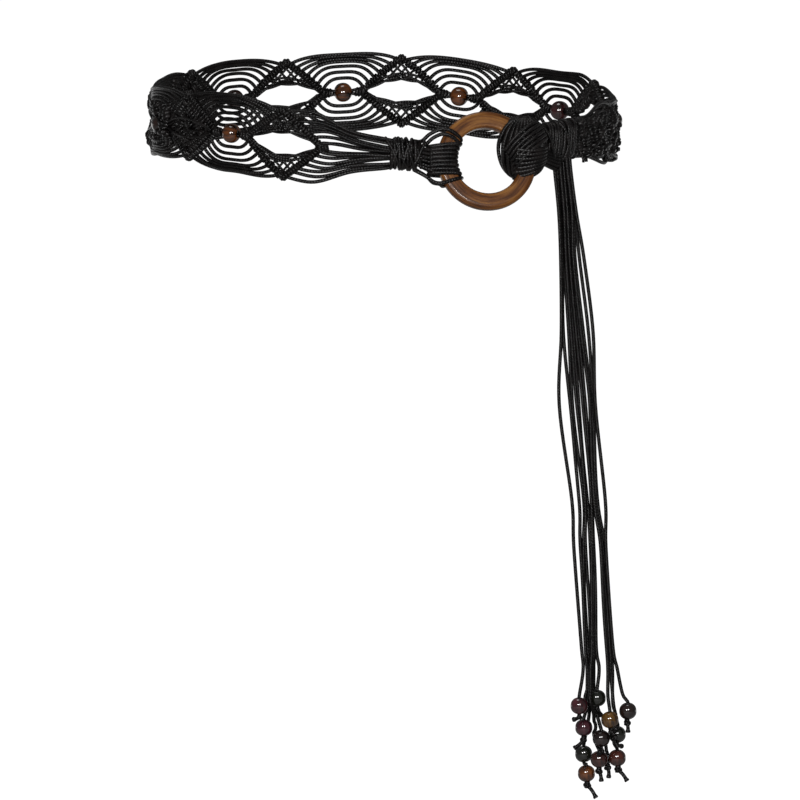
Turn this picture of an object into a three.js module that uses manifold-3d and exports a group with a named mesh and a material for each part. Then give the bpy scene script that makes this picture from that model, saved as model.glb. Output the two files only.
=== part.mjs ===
// Woven cord belt with a beaded tassel, held open as it is worn.
// Millimetres. The front of the belt faces -Y, +Z is up, and the origin is the middle of the waist.
import * as THREE from "three";
import { mergeVertices } from "three/addons/utils/BufferGeometryUtils.js";
import Module from "manifold-3d";

const wasm = await Module();
wasm.setup();

// Driving sizes
const GAP = 0.3;
const BORE = 0.5;
const LOOP = { halfWidth: 139, halfDepth: 118 };
const MOTIF = { count: 9, halfWidth: 24, halfHeight: 20, bar: 4.6 };
const BAND = { fan: 2, lattice: 3, bar: 4.2, longestEdge: 24, apex: 0.6 };
const FAN = { strip: 1.8, notch: 0.8, notchWidth: 2.6, bulge: 3.6 };
const EYE = { halfWidth: 20.5, halfHeight: 5.2 };
const LATTICE = { near: 1.3, cord: 2.1, tip: 14.5 };
const RING = { s: -63.4, outer: 30, inner: 20, thickness: 7.5, bevel: 2.4, lean: 20, turn: 13 };
const HITCHES = { halfAngle: 37, wraps: 7, wall: 2.1, rib: 0.5, web: 9.3 };
const GATHER = { length: 18, height: 19, depth: 10, ribs: 5, rib: 0.35, fan: 40, bulge: 1.05 };
const NECK = { length: 15, height: 25, depth: 14, ribs: 5, rib: 0.5, fan: 31.3, bulge: 0.92 };
const KNOT = { fromRing: 21.4, rise: 8.4, out: 4.5, width: 31, depth: 26, height: 37, rib: 0.7 };
const NECK_FROM_RING = 53.3;
const ROD = { gather: 6.1, neck: 7.1, halfThickness: 2 };
const BELT_BEAD = { radius: 5.5, length: 9.4, clearance: 0.6 };
const TASSEL_BEAD = { radius: 5.3, length: 9.5, clearance: 0.4 };
const TASSEL = { length: 383, spread: 40, depth: 10, forward: 1.6, swing: 6 };
const STRAND = { radius: 1.05, finest: 4.3, inHead: 0.4 };
const HEAD = { halfWidth: 6.4, halfDepth: 3.6, height: 6.7, sideways: 0.03 };
const PLUG = { halfWidth: 4, halfDepth: 2.2, height: 3.6 };

// Height of the middle of the band, as a share of a motif's half height, at steps of one motif
const LIFT = [
  { step: -1.75, rise: -0.485 },
  { step: -1.2, rise: -0.25 },
  { step: -1, rise: -0.17 },
  { step: 0, rise: 0.05 },
  { step: 0.5, rise: 0.25 },
  { step: 1, rise: 0.25 },
  { step: 2, rise: 0.05 },
  { step: 4, rise: 0.05 },
  { step: 5, rise: 0.12 },
  { step: 6, rise: -0.13 },
  { step: 6.5, rise: -0.2 },
  { step: 7, rise: -0.1 },
  { step: 8, rise: -0.05 },
  { step: 9, rise: -0.08 },
];

// Gaps between the cords of half a fan: the height of each edge where it leaves the bar, as a
// share of the motif's half height, and in the middle of the fan, as a share of the fan's own
const FAN_GAPS = [
  { lowBar: 0.09, lowMid: 0.076, highBar: 0.12, highMid: 0.3 },
  { lowBar: 0.21, lowMid: 0.38, highBar: 0.26, highMid: 0.445 },
  { lowBar: 0.35, lowMid: 0.53, highBar: 0.4, highMid: 0.575 },
  { lowBar: 0.49, lowMid: 0.66, highBar: 0.54, highMid: 0.705 },
];

// Slots between the cords of an end fan, as shares of the half heights where they start and stop
const END_SLOTS = [
  { bar: 0, end: 0, width: 1.5 },
  { bar: 0.3, end: 0.37, width: 2.1 },
  { bar: 0.57, end: 0.65, width: 1.5 },
];

// Tassel strands: how far each is from the middle of the neck at each drop, sideways as a share
// of the tassel's spread and in depth as a share of its depth, then the beads on it, and the
// knot, its tail and its lump as shares of a bead's radius
const DROPS = [0, 0.075, 0.15, 0.265, 0.38, 0.53, 0.605, 0.755, 0.795, 0.835, 0.855, 0.87, 0.89, 0.91];
const STRANDS = [
  {
    x: [-0.09, -0.02, 0.01, 0.01, 0, 0.18, 0.21, 0.32, 0.35],
    depth: [-0.25, -0.2, -0.15, -0.1, -0.1, -0.1, -0.1, -0.25, -0.35],
    beads: [1],
    knot: [0, 0, -0.3],
    tail: [-0.7, -0.4, -0.2],
    lump: 0.28,
  },
  {
    x: [-0.05, 0, 0.04, 0.08, 0.15, 0.3, 0.3, 0.38, 0.41, 0.41, 0.41],
    depth: [0, 0, 0, 0, -0.05, -0.05, -0.05, 0, 0, 0.05, 0],
    beads: [2],
    knot: [0, 0, -0.35],
    tail: [-1.1, -0.4, -0.95],
    lump: 0.36,
  },
  {
    x: [-0.04, 0.04, 0.09, 0.16, 0.18, 0.34, 0.35, 0.42, 0.44, 0.45, 0.45, 0.44, 0.41],
    depth: [0.25, 0.2, 0.15, 0.1, 0.15, 0.1, 0.1, 0.2, 0.3, 0.4, 0.45, 0.45, 0.5],
    beads: [3, 4],
    knot: [0.1, 0, -0.35],
    tail: [1, -0.2, -1.4],
    lump: 0.4,
  },
  {
    x: [0, 0.06, 0.12, 0.21, 0.25, 0.39, 0.4, 0.46, 0.49, 0.51, 0.52, 0.56, 0.61, 0.68],
    depth: [-0.25, -0.15, -0.1, -0.05, -0.05, 0, 0.05, 0.4, 0.55, 0.75, 0.7, 0.6, 0.5, 0.4],
    beads: [],
    last: [0.72, 0.2, 0.95],
    knot: [0, 0, -0.2],
    tail: [0.1, 0.1, -1.15],
    lump: 0.36,
  },
  {
    x: [0.02, 0.09, 0.16, 0.25, 0.29, 0.41, 0.44, 0.51, 0.51, 0.51, 0.52, 0.56],
    depth: [0.25, 0.2, 0.15, 0.1, 0.1, 0.15, 0.2, 0.1, 0.3, 0.55, 0.45, 0.05],
    beads: [10],
    knot: [0.1, -0.55, -0.35],
    tail: [-0.4, -0.45, -0.2],
    lump: 0.24,
  },
  {
    x: [0.05, 0.11, 0.19, 0.3, 0.35, 0.46, 0.49, 0.48, 0.46, 0.46, 0.49, 0.51, 0.51, 0.54],
    depth: [0, -0.05, -0.05, -0.05, 0, 0, -0.05, -0.25, -0.35, -0.5, -0.45, -0.2, 0.05, 0.2],
    beads: [5],
    knot: [0, 0, -0.35],
    tail: [0.25, 0, -1.15],
    lump: 0.38,
  },
  {
    x: [0.08, 0.14, 0.22, 0.34, 0.42, 0.49, 0.51, 0.54, 0.59],
    depth: [0.25, 0.15, 0.1, 0.1, 0.1, 0.15, 0.15, 0.3, 0.15],
    beads: [9],
    knot: [0, 0, -0.3],
    tail: [0.45, 0.55, -0.75],
    lump: 0.34,
  },
  {
    x: [0.1, 0.18, 0.26, 0.38, 0.45, 0.5, 0.6, 0.7, 0.72, 0.72],
    depth: [-0.25, -0.2, -0.15, -0.15, -0.15, -0.2, -0.2, -0.25, -0.3, -0.4],
    beads: [7],
    knot: [0.15, -0.1, -0.3],
    tail: [0.55, -0.4, -0.8],
    lump: 0.3,
  },
  {
    x: [0.11, 0.2, 0.29, 0.41, 0.49, 0.54, 0.64, 0.74, 0.76, 0.79, 0.81, 0.84],
    depth: [0, 0, 0, 0, 0, 0, 0, 0, 0, 0, 0, 0.1],
    beads: [11],
    knot: [0, 0.1, -0.25],
    tail: [0.55, 0.7, -0.2],
    lump: 0.28,
  },
  {
    x: [0.14, 0.22, 0.31, 0.45, 0.51, 0.57, 0.66, 0.76, 0.79, 0.79, 0.8, 0.84, 0.81, 0.81],
    depth: [0.25, 0.2, 0.2, 0.2, 0.2, 0.2, 0.2, 0.2, 0.2, 0.2, 0.2, 0.15, -0.4, -0.5],
    beads: [6],
    knot: [0.1, 0, -0.35],
    tail: [1.05, -0.2, -1.25],
    lump: 0.4,
  },
  {
    x: [0.15, 0.24, 0.35, 0.5, 0.54, 0.68, 0.69, 0.79, 0.86, 0.94],
    depth: [-0.1, -0.1, -0.1, -0.05, -0.1, -0.1, -0.1, -0.1, -0.05, -0.05],
    beads: [8],
    knot: [-0.1, 0, -0.35],
    tail: [0.1, -0.45, -1],
    lump: 0.36,
  },
];

// Beads on the tassel, measured as the strands are
const TASSEL_BEADS = [
  { number: 1, x: 0.29, drop: 0.852, depth: -0.5, colour: 0x4a1a22 },
  { number: 2, x: 0.36, drop: 0.888, depth: -0.1, colour: 0x33141d },
  { number: 3, x: 0.36, drop: 0.932, depth: 0.5, colour: 0x161b12 },
  { number: 4, x: 0.4, drop: 0.962, depth: 0.3, colour: 0x4a230c },
  { number: 5, x: 0.59, drop: 0.938, depth: -0.1, colour: 0x421410 },
  { number: 6, x: 0.86, drop: 0.936, depth: -0.05, colour: 0x46150f },
  { number: 7, x: 0.75, drop: 0.874, depth: -0.5, colour: 0x5a3a0a },
  { number: 8, x: 1.02, drop: 0.862, depth: -0.05, colour: 0x1e100e },
  { number: 9, x: 0.56, drop: 0.842, depth: 0, colour: 0x0d0c0c },
  { number: 10, x: 0.62, drop: 0.904, depth: -0.35, colour: 0x1c1710 },
  { number: 11, x: 0.86, drop: 0.9, depth: 0.2, colour: 0x15160f },
];

// Finishes
const FINISHES = {
  cord: { color: 0x0f0e0f, roughness: 0.62, metalness: 0 },
  ring: { color: 0x5b2a12, roughness: 0.3, metalness: 0 },
  bead: { color: 0x4a1c10, roughness: 0.22, metalness: 0 },
};

// Linear reading of a table by one of its columns
function readTable(rows, key, value, at) {
  const last = rows.length - 1;
  if (at <= rows[0][key]) return rows[0][value];
  if (at >= rows[last][key]) return rows[last][value];
  const i = rows.findIndex((row) => row[key] > at);
  const from = rows[i - 1];
  const share = (at - from[key]) / (rows[i][key] - from[key]);
  const eased = share * share * (3 - 2 * share);
  return from[value] + (rows[i][value] - from[value]) * eased;
}

// Arc length round the loop, from the middle of the front towards the left
const TURN_STEPS = 1440;
const TURNS = [{ s: 0, angle: 0 }];
for (let i = 1; i <= TURN_STEPS; i++) {
  const angle = (i * 2 * Math.PI) / TURN_STEPS;
  const middle = angle - Math.PI / TURN_STEPS;
  const across = LOOP.halfWidth * Math.cos(middle);
  const along = LOOP.halfDepth * Math.sin(middle);
  const step = Math.hypot(across, along) * ((2 * Math.PI) / TURN_STEPS);
  TURNS.push({ s: TURNS[i - 1].s + step, angle });
}
const LOOP_LENGTH = TURNS[TURN_STEPS].s;

// Places along the loop, worked out from the ring both ways round
const SEAT = 1;
const GATHER_S = RING.s + RING.outer + HITCHES.wall + HITCHES.web + GATHER.length / 2;
const NECK_S = LOOP_LENGTH + RING.s - NECK_FROM_RING;
const FIRST = GATHER_S + GATHER.length / 2 + SEAT + GATHER.fan + MOTIF.halfWidth;
const LAST = NECK_S - NECK.length / 2 - SEAT - NECK.fan - MOTIF.halfWidth;
const PITCH = (LAST - FIRST) / (MOTIF.count - 1);
const FAN_REACH = PITCH / 2;
const FAN_EDGE = MOTIF.halfHeight + FAN.bulge;
const SLEEVES = {
  gather: { ...GATHER, s: GATHER_S },
  neck: { ...NECK, s: NECK_S },
};
const ENDS = {
  gather: endFan(GATHER, ROD.gather),
  neck: endFan(NECK, ROD.neck),
};

// How an end of the band narrows to the rod inside its sleeve
function endFan(sleeve, rod) {
  const reach = MOTIF.halfWidth + sleeve.fan;
  return {
    reach,
    shoulder: sleeve.height / 2 - 0.9,
    bulge: sleeve.bulge * MOTIF.halfHeight,
    rod,
    rodEnd: reach + SEAT + sleeve.length / 2 - GAP / 2,
  };
}

function angleAt(s) {
  const wrapped = ((s % LOOP_LENGTH) + LOOP_LENGTH) % LOOP_LENGTH;
  let low = 0;
  let high = TURN_STEPS;
  while (high - low > 1) {
    const middle = (low + high) >> 1;
    if (TURNS[middle].s > wrapped) high = middle;
    else low = middle;
  }
  const share = (wrapped - TURNS[low].s) / (TURNS[high].s - TURNS[low].s);
  return TURNS[low].angle + (TURNS[high].angle - TURNS[low].angle) * share;
}

// Frame of the loop at a length s: a point, the outward direction and the direction of growing s
function loopAt(s) {
  const angle = angleAt(s);
  const out = new THREE.Vector3(
    -LOOP.halfDepth * Math.sin(angle),
    -LOOP.halfWidth * Math.cos(angle),
    0,
  ).normalize();
  const point = new THREE.Vector3(
    -LOOP.halfWidth * Math.sin(angle),
    -LOOP.halfDepth * Math.cos(angle),
    liftAt(s),
  );
  return { point, out, along: new THREE.Vector3(out.y, -out.x, 0) };
}

function liftAt(s) {
  return MOTIF.halfHeight * readTable(LIFT, "step", "rise", (s - FIRST) / PITCH);
}

function onLoop(s, height, outward) {
  const at = loopAt(s);
  at.point.z += height;
  return at.point.addScaledVector(at.out, outward);
}

// Geometry helpers
function joined(geometry) {
  const loose = geometry.index ? geometry.toNonIndexed() : geometry;
  const bare = new THREE.BufferGeometry();
  bare.setAttribute("position", loose.getAttribute("position").clone());
  return mergeVertices(bare, 1e-4);
}

function reshaped(geometry, place) {
  const result = joined(geometry);
  const position = result.getAttribute("position");
  const vertex = new THREE.Vector3();
  for (let i = 0; i < position.count; i++) {
    vertex.fromBufferAttribute(position, i);
    const moved = place(vertex);
    position.setXYZ(i, moved.x, moved.y, moved.z);
  }
  return result;
}

function solid(geometry) {
  const closed = joined(geometry);
  const mesh = new wasm.Mesh({
    numProp: 3,
    vertProperties: closed.getAttribute("position").array,
    triVerts: new Uint32Array(closed.index.array),
  });
  return new wasm.Manifold(mesh);
}

function geometryOf(body) {
  const mesh = body.getMesh();
  const geometry = new THREE.BufferGeometry();
  const position = new THREE.BufferAttribute(new Float32Array(mesh.vertProperties), 3);
  geometry.setAttribute("position", position);
  geometry.setIndex(new THREE.BufferAttribute(new Uint32Array(mesh.triVerts), 1));
  return geometry;
}

function ring(points) {
  return points.map(([x, y]) => new THREE.Vector2(x, y));
}

function ellipse(halfWidth, halfHeight, corners, start = 0) {
  const points = [];
  for (let i = 0; i < corners; i++) {
    const angle = start + (i * 2 * Math.PI) / corners;
    points.push([halfWidth * Math.cos(angle), halfHeight * Math.sin(angle)]);
  }
  return points;
}

function extrusion(shape, steps) {
  return new THREE.ExtrudeGeometry(shape, { depth: 1, steps, bevelEnabled: false });
}

// A block between two corners
function block(from, to) {
  const size = new THREE.Vector3().subVectors(to, from);
  const box = new THREE.BoxGeometry(size.x, size.y, size.z);
  return box.translate((from.x + to.x) / 2, (from.y + to.y) / 2, (from.z + to.z) / 2);
}

function named(name, geometry, finish) {
  const flat = geometry.index ? geometry.toNonIndexed() : geometry;
  flat.computeVertexNormals();
  const mesh = new THREE.Mesh(flat, new THREE.MeshStandardMaterial(finish));
  mesh.name = name;
  return mesh;
}

// Outer edge of a bar of hitches: how far from the middle of the motif it is at a height
function barEdge(height) {
  const slope = MOTIF.halfWidth / MOTIF.halfHeight;
  const reach = (MOTIF.bar / 2) * Math.hypot(1, slope);
  return MOTIF.halfWidth + reach - slope * Math.abs(height);
}

// One edge of a fan gap, from the bar to the middle of the fan
function fanEdge(barShare, midShare) {
  const bar = barShare * MOTIF.halfHeight;
  const mid = midShare * FAN_EDGE;
  const start = barEdge(bar);
  return [0, 0.4, 1].map((t) => {
    const rise = 1 - (1 - t) ** 3;
    return [start + (FAN_REACH - start) * t, bar + (mid - bar) * rise];
  });
}

const flipped = (points) => points.map(([u, v]) => [u, -v]);
const reversed = (points) => [...points].reverse();

// Upper quarter of a motif's outline that opens into a full fan, from the strip to the apex
function fanQuarter() {
  const outline = [];
  for (const gap of FAN_GAPS) {
    outline.push(...reversed(fanEdge(gap.lowBar, gap.lowMid)));
    outline.push(...fanEdge(gap.highBar, gap.highMid));
  }
  const edge = [0.05, 0.4, 1].map((t) => {
    const rise = 1 - (1 - t) ** 3;
    const low = MOTIF.halfHeight - FAN.notch;
    return [FAN.notchWidth + (FAN_REACH - FAN.notchWidth) * t, low + (FAN_EDGE - low) * rise];
  });
  outline.push(...reversed(edge));
  outline.push([0, MOTIF.halfHeight + BAND.apex]);
  return outline;
}

// Upper quarter of a motif's outline that narrows to a rod at an end of the band
function endQuarter(end) {
  const edge = [0, 0.3, 0.65, 1].map((t) => {
    const away = 1 - t;
    const low = MOTIF.halfHeight - FAN.notch;
    const height = low * away * away + 2 * end.bulge * away * t + end.shoulder * t * t;
    return [FAN.notchWidth + (end.reach - FAN.notchWidth) * t, height];
  });
  const tip = [
    [end.rodEnd, end.rod],
    [end.reach + 0.5, end.rod],
  ];
  return [...tip, ...reversed(edge), [0, MOTIF.halfHeight + BAND.apex]];
}

// Slots between the cords of an end fan
function endSlots(end, side) {
  const slots = [];
  for (const slot of END_SLOTS) {
    const first = slot.bar * MOTIF.halfHeight;
    const last = slot.end * end.shoulder;
    const start = barEdge(first) + 1.2;
    const stop = end.reach - 3.5;
    const middle = [0, 0.4, 1].map((t) => {
      return [start + (stop - start) * t, first + (last - first) * t * t];
    });
    const half = slot.width / 2;
    const points = [
      [middle[0][0], middle[0][1]],
      [middle[1][0], middle[1][1] - half],
      [middle[2][0], middle[2][1]],
      [middle[1][0], middle[1][1] + half],
    ];
    slots.push(points.map(([u, v]) => [side * u, v]));
    if (slot.bar > 0) slots.push(points.map(([u, v]) => [side * u, -v]));
  }
  return slots;
}

// Half outline, from the lower apex round one side to the upper apex
function halfOutline(kind) {
  const quarter = kind === "fan" ? fanQuarter() : endQuarter(ENDS[kind]);
  return [...flipped(reversed(quarter)), ...quarter];
}

// One of the four openings between the eye's border and a bar
function latticeHole(sideways, upward) {
  const slope = MOTIF.halfHeight / MOTIF.halfWidth;
  const barHeight = (u) => {
    const inner = (MOTIF.bar / 2) * Math.hypot(1, slope);
    return MOTIF.halfHeight - inner - slope * u;
  };
  const low = EYE.halfHeight + LATTICE.cord;
  return [
    [sideways * LATTICE.near, upward * low],
    [sideways * LATTICE.tip, upward * (barHeight(LATTICE.tip) + 0.2)],
    [sideways * LATTICE.near, upward * (barHeight(LATTICE.near) - 0.3)],
  ];
}

// The flat shape of one motif with what lies on each side of it
function motifShape(leftKind, rightKind) {
  const right = halfOutline(rightKind);
  const left = reversed(halfOutline(leftKind)).slice(1, -1);
  const outline = [...right, ...left.map(([u, v]) => [-u, v])];
  const shape = new THREE.Shape(ring(outline));
  const eye = [];
  for (const share of [-1, -0.38, 0.38]) {
    eye.push([share * EYE.halfWidth, -EYE.halfHeight * (1 - share * share)]);
  }
  for (const share of [1, 0.38, -0.38]) {
    eye.push([share * EYE.halfWidth, EYE.halfHeight * (1 - share * share)]);
  }
  const holes = [eye];
  for (const sideways of [-1, 1]) {
    for (const upward of [-1, 1]) {
      holes.push(latticeHole(sideways, upward));
    }
  }
  if (leftKind !== "fan") holes.push(...endSlots(ENDS[leftKind], -1));
  if (rightKind !== "fan") holes.push(...endSlots(ENDS[rightKind], 1));
  shape.holes = holes.map((points) => new THREE.Path(ring(points)));
  return shape;
}

// Thickness of the band at a place in its motif
function bandThickness(u, v) {
  const span = Math.hypot(MOTIF.halfWidth, MOTIF.halfHeight);
  const along = (MOTIF.halfHeight * Math.abs(u) + MOTIF.halfWidth * Math.abs(v)) / span;
  const line = (MOTIF.halfWidth * MOTIF.halfHeight) / span;
  const beyond = Math.abs(along - line);
  const fall = THREE.MathUtils.smoothstep(beyond, 2.6, 6);
  const base = along < line ? BAND.lattice : BAND.fan;
  const worked = BAND.bar + (base - BAND.bar) * fall;
  const rod = THREE.MathUtils.smoothstep(Math.abs(u), FAN_REACH + 6, FAN_REACH + 18);
  return worked + (2 * ROD.halfThickness - worked) * rod;
}

// A mesh in band coordinates, whose long edges are halved until each bends well
function halveLongEdges(corners, faces, longest) {
  const middles = new Map();
  const isLong = (a, b) => Math.abs(corners[a][0] - corners[b][0]) > longest;
  const middleOf = (a, b) => {
    const key = a < b ? a + "," + b : b + "," + a;
    if (!middles.has(key)) {
      middles.set(key, corners.length);
      corners.push(corners[a].map((value, i) => (value + corners[b][i]) / 2));
    }
    return middles.get(key);
  };
  let work = faces;
  let changed = true;
  while (changed) {
    changed = false;
    const next = [];
    for (const [a, b, c] of work) {
      const marks = [isLong(a, b), isLong(b, c), isLong(c, a)];
      const count = marks.filter(Boolean).length;
      if (count === 0) {
        next.push([a, b, c]);
        continue;
      }
      changed = true;
      const turn = count === 2 ? (marks.indexOf(false) + 1) % 3 : marks.indexOf(true);
      const [p, q, r] = [a, b, c, a, b].slice(turn, turn + 3);
      const pq = middleOf(p, q);
      if (count === 1) {
        next.push([p, pq, r], [pq, q, r]);
        continue;
      }
      const qr = middleOf(q, r);
      if (count === 2) {
        next.push([p, pq, r], [pq, qr, r], [pq, q, qr]);
        continue;
      }
      const rp = middleOf(r, p);
      next.push([p, pq, rp], [pq, q, qr], [rp, qr, r], [pq, qr, rp]);
    }
    work = next;
  }
  return work;
}

// The woven band: nine motifs and the fans between them, in one piece
function wovenBand() {
  const corners = [];
  const places = new Map();
  let faces = [];
  for (let i = 0; i < MOTIF.count; i++) {
    const centre = FIRST + i * PITCH;
    const leftKind = i === 0 ? "gather" : "fan";
    const rightKind = i === MOTIF.count - 1 ? "neck" : "fan";
    const flat = extrusion(motifShape(leftKind, rightKind), 1);
    const position = flat.getAttribute("position");
    const isCut = (u) => Math.abs(Math.abs(u) - FAN_REACH) < 1e-4;
    for (let f = 0; f < position.count; f += 3) {
      const us = [0, 1, 2].map((k) => position.getX(f + k));
      if (us.every(isCut)) continue;
      const face = [0, 1, 2].map((k) => {
        const u = position.getX(f + k);
        const v = position.getY(f + k);
        const side = position.getZ(f + k) > 0.5 ? 1 : -1;
        const s = centre + u;
        const key = [Math.round(s * 1000), Math.round(v * 1000), side].join();
        if (!places.has(key)) {
          places.set(key, corners.length);
          corners.push([s, v, (side * bandThickness(u, v)) / 2]);
        }
        return places.get(key);
      });
      faces.push(face);
    }
  }
  faces = halveLongEdges(corners, faces, BAND.longestEdge);
  const geometry = new THREE.BufferGeometry();
  const placed = corners.flatMap(([s, v, side]) => onLoop(s, v, side).toArray());
  geometry.setAttribute("position", new THREE.Float32BufferAttribute(placed, 3));
  geometry.setIndex(faces.flatMap(([a, b, c]) => [a, c, b]));
  return geometry;
}

// Frame of the wood ring: sideways, up its face, and out of its face
function ringFrame() {
  const lean = THREE.MathUtils.degToRad(RING.lean);
  const turn = THREE.MathUtils.degToRad(RING.turn);
  const face = new THREE.Vector3(
    Math.sin(turn) * Math.cos(lean),
    -Math.cos(turn) * Math.cos(lean),
    Math.sin(lean),
  );
  const sideways = new THREE.Vector3(Math.cos(turn), Math.sin(turn), 0);
  const up = new THREE.Vector3().crossVectors(face, sideways);
  return { centre: onLoop(RING.s, 0, 0), sideways, up, face };
}

function onRing(angle, radius, outward) {
  const frame = ringFrame();
  return frame.centre
    .addScaledVector(frame.sideways, radius * Math.cos(angle))
    .addScaledVector(frame.up, radius * Math.sin(angle))
    .addScaledVector(frame.face, outward);
}

// The wood ring, or the same ring grown by a clearance
function woodRing(extra, segments) {
  const inner = RING.inner - extra;
  const outer = RING.outer + extra;
  const half = RING.thickness / 2 + extra;
  const bevel = RING.bevel;
  const profile = [
    [inner, -half + 1],
    [inner + 1.4, -half],
    [outer - bevel, -half],
    [outer, -half + bevel],
    [outer, half - bevel],
    [outer - bevel, half],
    [inner + 1.4, half],
    [inner, half - 1],
    [inner, -half + 1],
  ];
  const turned = new THREE.LatheGeometry(ring(profile), segments);
  const frame = ringFrame();
  const basis = new THREE.Matrix4().makeBasis(
    frame.sideways,
    frame.face,
    frame.up.clone().negate(),
  );
  basis.setPosition(frame.centre);
  return joined(turned).applyMatrix4(basis);
}

const BELT_HOLE = Math.hypot(FAN.strip, BAND.fan / 2) + BELT_BEAD.clearance;
const TASSEL_HOLE = STRAND.radius + TASSEL_BEAD.clearance;

// A bead with a drilled hole, turned about the given direction
function bead(size, hole, centre, direction) {
  const half = size.length / 2;
  const profile = [
    [hole, -half],
    [size.radius * 0.62, -half],
    [size.radius * 0.97, -half * 0.4],
    [size.radius * 0.97, half * 0.4],
    [size.radius * 0.62, half],
    [hole, half],
    [hole, -half],
  ];
  const turned = joined(new THREE.LatheGeometry(ring(profile), 10));
  const spin = new THREE.Quaternion().setFromUnitVectors(new THREE.Vector3(0, 1, 0), direction);
  return turned.applyQuaternion(spin).translate(centre.x, centre.y, centre.z);
}

// A ribbed elliptical body round the loop, solid, with its length along the loop
function ribbedSleeve(size) {
  const steps = size.ribs * 2;
  const shape = new THREE.Shape(ring(ellipse(1, 1, 10, Math.PI / 10)));
  return reshaped(extrusion(shape, steps), (vertex) => {
    const layer = Math.round(vertex.z * steps);
    const isEnd = layer === 0 || layer === steps;
    const rib = isEnd ? -2 * size.rib : size.rib * (layer % 2 === 1 ? 1 : -1);
    const s = size.s - size.length / 2 + vertex.z * size.length;
    const height = vertex.y * (size.height / 2 + rib);
    const outward = vertex.x * (size.depth / 2 + rib);
    return onLoop(s, height, outward);
  });
}

// A flat rod along the loop between two lengths
function loopRod(from, to, halfHeight, halfThickness) {
  const shape = new THREE.Shape(
    ring([
      [-halfThickness, -halfHeight],
      [halfThickness, -halfHeight],
      [halfThickness, halfHeight],
      [-halfThickness, halfHeight],
    ]),
  );
  return reshaped(extrusion(shape, 4), (vertex) => {
    return onLoop(from + (to - from) * vertex.z, vertex.y, vertex.x);
  });
}

// The bore of a sleeve round a flat rod
function sleeveBore(sleeve, rod) {
  const half = sleeve.length / 2 + 2;
  return loopRod(sleeve.s - half, sleeve.s + half, rod + BORE, ROD.halfThickness + BORE);
}

// The knot where the cords of the band gather, with its bore
function gatheringKnot() {
  const bore = sleeveBore(SLEEVES.gather, ROD.gather);
  return geometryOf(solid(ribbedSleeve(SLEEVES.gather)).subtract(solid(bore)));
}

// Hitches round the left of the ring, with the cords that run on into the gathering knot
function ringHitches() {
  const steps = HITCHES.wraps * 2;
  const spread = THREE.MathUtils.degToRad(HITCHES.halfAngle);
  const middle = (RING.inner + RING.outer) / 2;
  const halfWidth = (RING.outer - RING.inner) / 2 + HITCHES.wall;
  const halfDepth = RING.thickness / 2 + HITCHES.wall;
  const section = ellipse(1, 1, 8, Math.PI / 8).map(([x, y]) => {
    const round = 1 / Math.max(Math.abs(x), Math.abs(y)) ** 0.55;
    return [x * round, y * round];
  });
  const shape = new THREE.Shape(ring(section));
  const wraps = reshaped(extrusion(shape, steps), (vertex) => {
    const layer = Math.round(vertex.z * steps);
    const rib = layer % 2 === 1 ? HITCHES.rib : -HITCHES.rib / 2;
    const angle = Math.PI - spread + 2 * spread * vertex.z;
    const radius = middle + vertex.x * (halfWidth + rib);
    return onRing(angle, radius, -vertex.y * (halfDepth + rib));
  });
  const web = new THREE.Shape(
    ring([
      [0, -ROD.gather],
      [1, -9],
      [1, 9],
      [0, ROD.gather],
    ]),
  );
  const hole = [
    [0.28, 2.2],
    [0.72, 2.2],
    [0.78, 5.6],
    [0.3, 4.6],
  ];
  web.holes = [new THREE.Path(ring(hole)), new THREE.Path(ring(flipped(hole)))];
  const edge = GATHER_S - GATHER.length / 2;
  const joint = reshaped(extrusion(web, 1), (vertex) => {
    const side = (vertex.z - 0.5) * 2 * (ROD.halfThickness - 0.4);
    const from = onLoop(edge, vertex.y, side);
    const to = onRing(Math.PI, RING.outer + 0.8, side);
    to.addScaledVector(ringFrame().up, vertex.y);
    return from.lerp(to, vertex.x);
  });
  const rod = loopRod(edge - 0.4, GATHER_S - GAP / 2, ROD.gather, ROD.halfThickness);
  const cords = solid(wraps).add(solid(joint)).add(solid(rod));
  return geometryOf(cords.subtract(solid(woodRing(GAP, 30))));
}

// The wrap over the neck of the tassel, with its bore and the socket under it
function neckWrap() {
  const bore = sleeveBore(SLEEVES.neck, ROD.neck);
  const socket = headPlug(GAP);
  return geometryOf(solid(ribbedSleeve(SLEEVES.neck)).subtract(solid(bore)).subtract(solid(socket)));
}

function neckBottom() {
  return liftAt(NECK_S) - NECK.height / 2 - NECK.rib;
}

// The part of the tassel's head that reaches up into the neck wrap
function headPlug(extra) {
  const neck = loopAt(NECK_S).point;
  const half = { x: PLUG.halfWidth + extra, y: PLUG.halfDepth + extra };
  const top = neckBottom() + PLUG.height + extra;
  const from = new THREE.Vector3(neck.x - half.x, neck.y - half.y, neckBottom() - PLUG.height);
  return block(from, new THREE.Vector3(neck.x + half.x, neck.y + half.y, top));
}

// The closing knot round the right of the ring, with the cords that run on into the neck wrap
function closingKnot() {
  const ball = new THREE.SphereGeometry(1, 13, 9);
  const centre = onLoop(RING.s - KNOT.fromRing, KNOT.rise, KNOT.out);
  const lumps = reshaped(ball, (vertex) => {
    const wave = Math.cos(7 * vertex.z + 3 * vertex.x) * Math.sqrt(1 - vertex.z * vertex.z);
    const grow = 1 + (KNOT.rib * wave) / (KNOT.width / 2);
    return new THREE.Vector3(
      centre.x + (vertex.x * KNOT.width * grow) / 2,
      centre.y + (vertex.y * KNOT.depth * grow) / 2,
      centre.z + (vertex.z * KNOT.height) / 2,
    );
  });
  const start = NECK_S + GAP / 2;
  const rod = loopRod(start, LOOP_LENGTH + RING.s - KNOT.fromRing, ROD.neck, ROD.halfThickness);
  const body = solid(lumps).subtract(solid(ribbedSleeve(grownNeck())));
  return geometryOf(body.add(solid(rod)).subtract(solid(woodRing(GAP, 30))));
}

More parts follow.
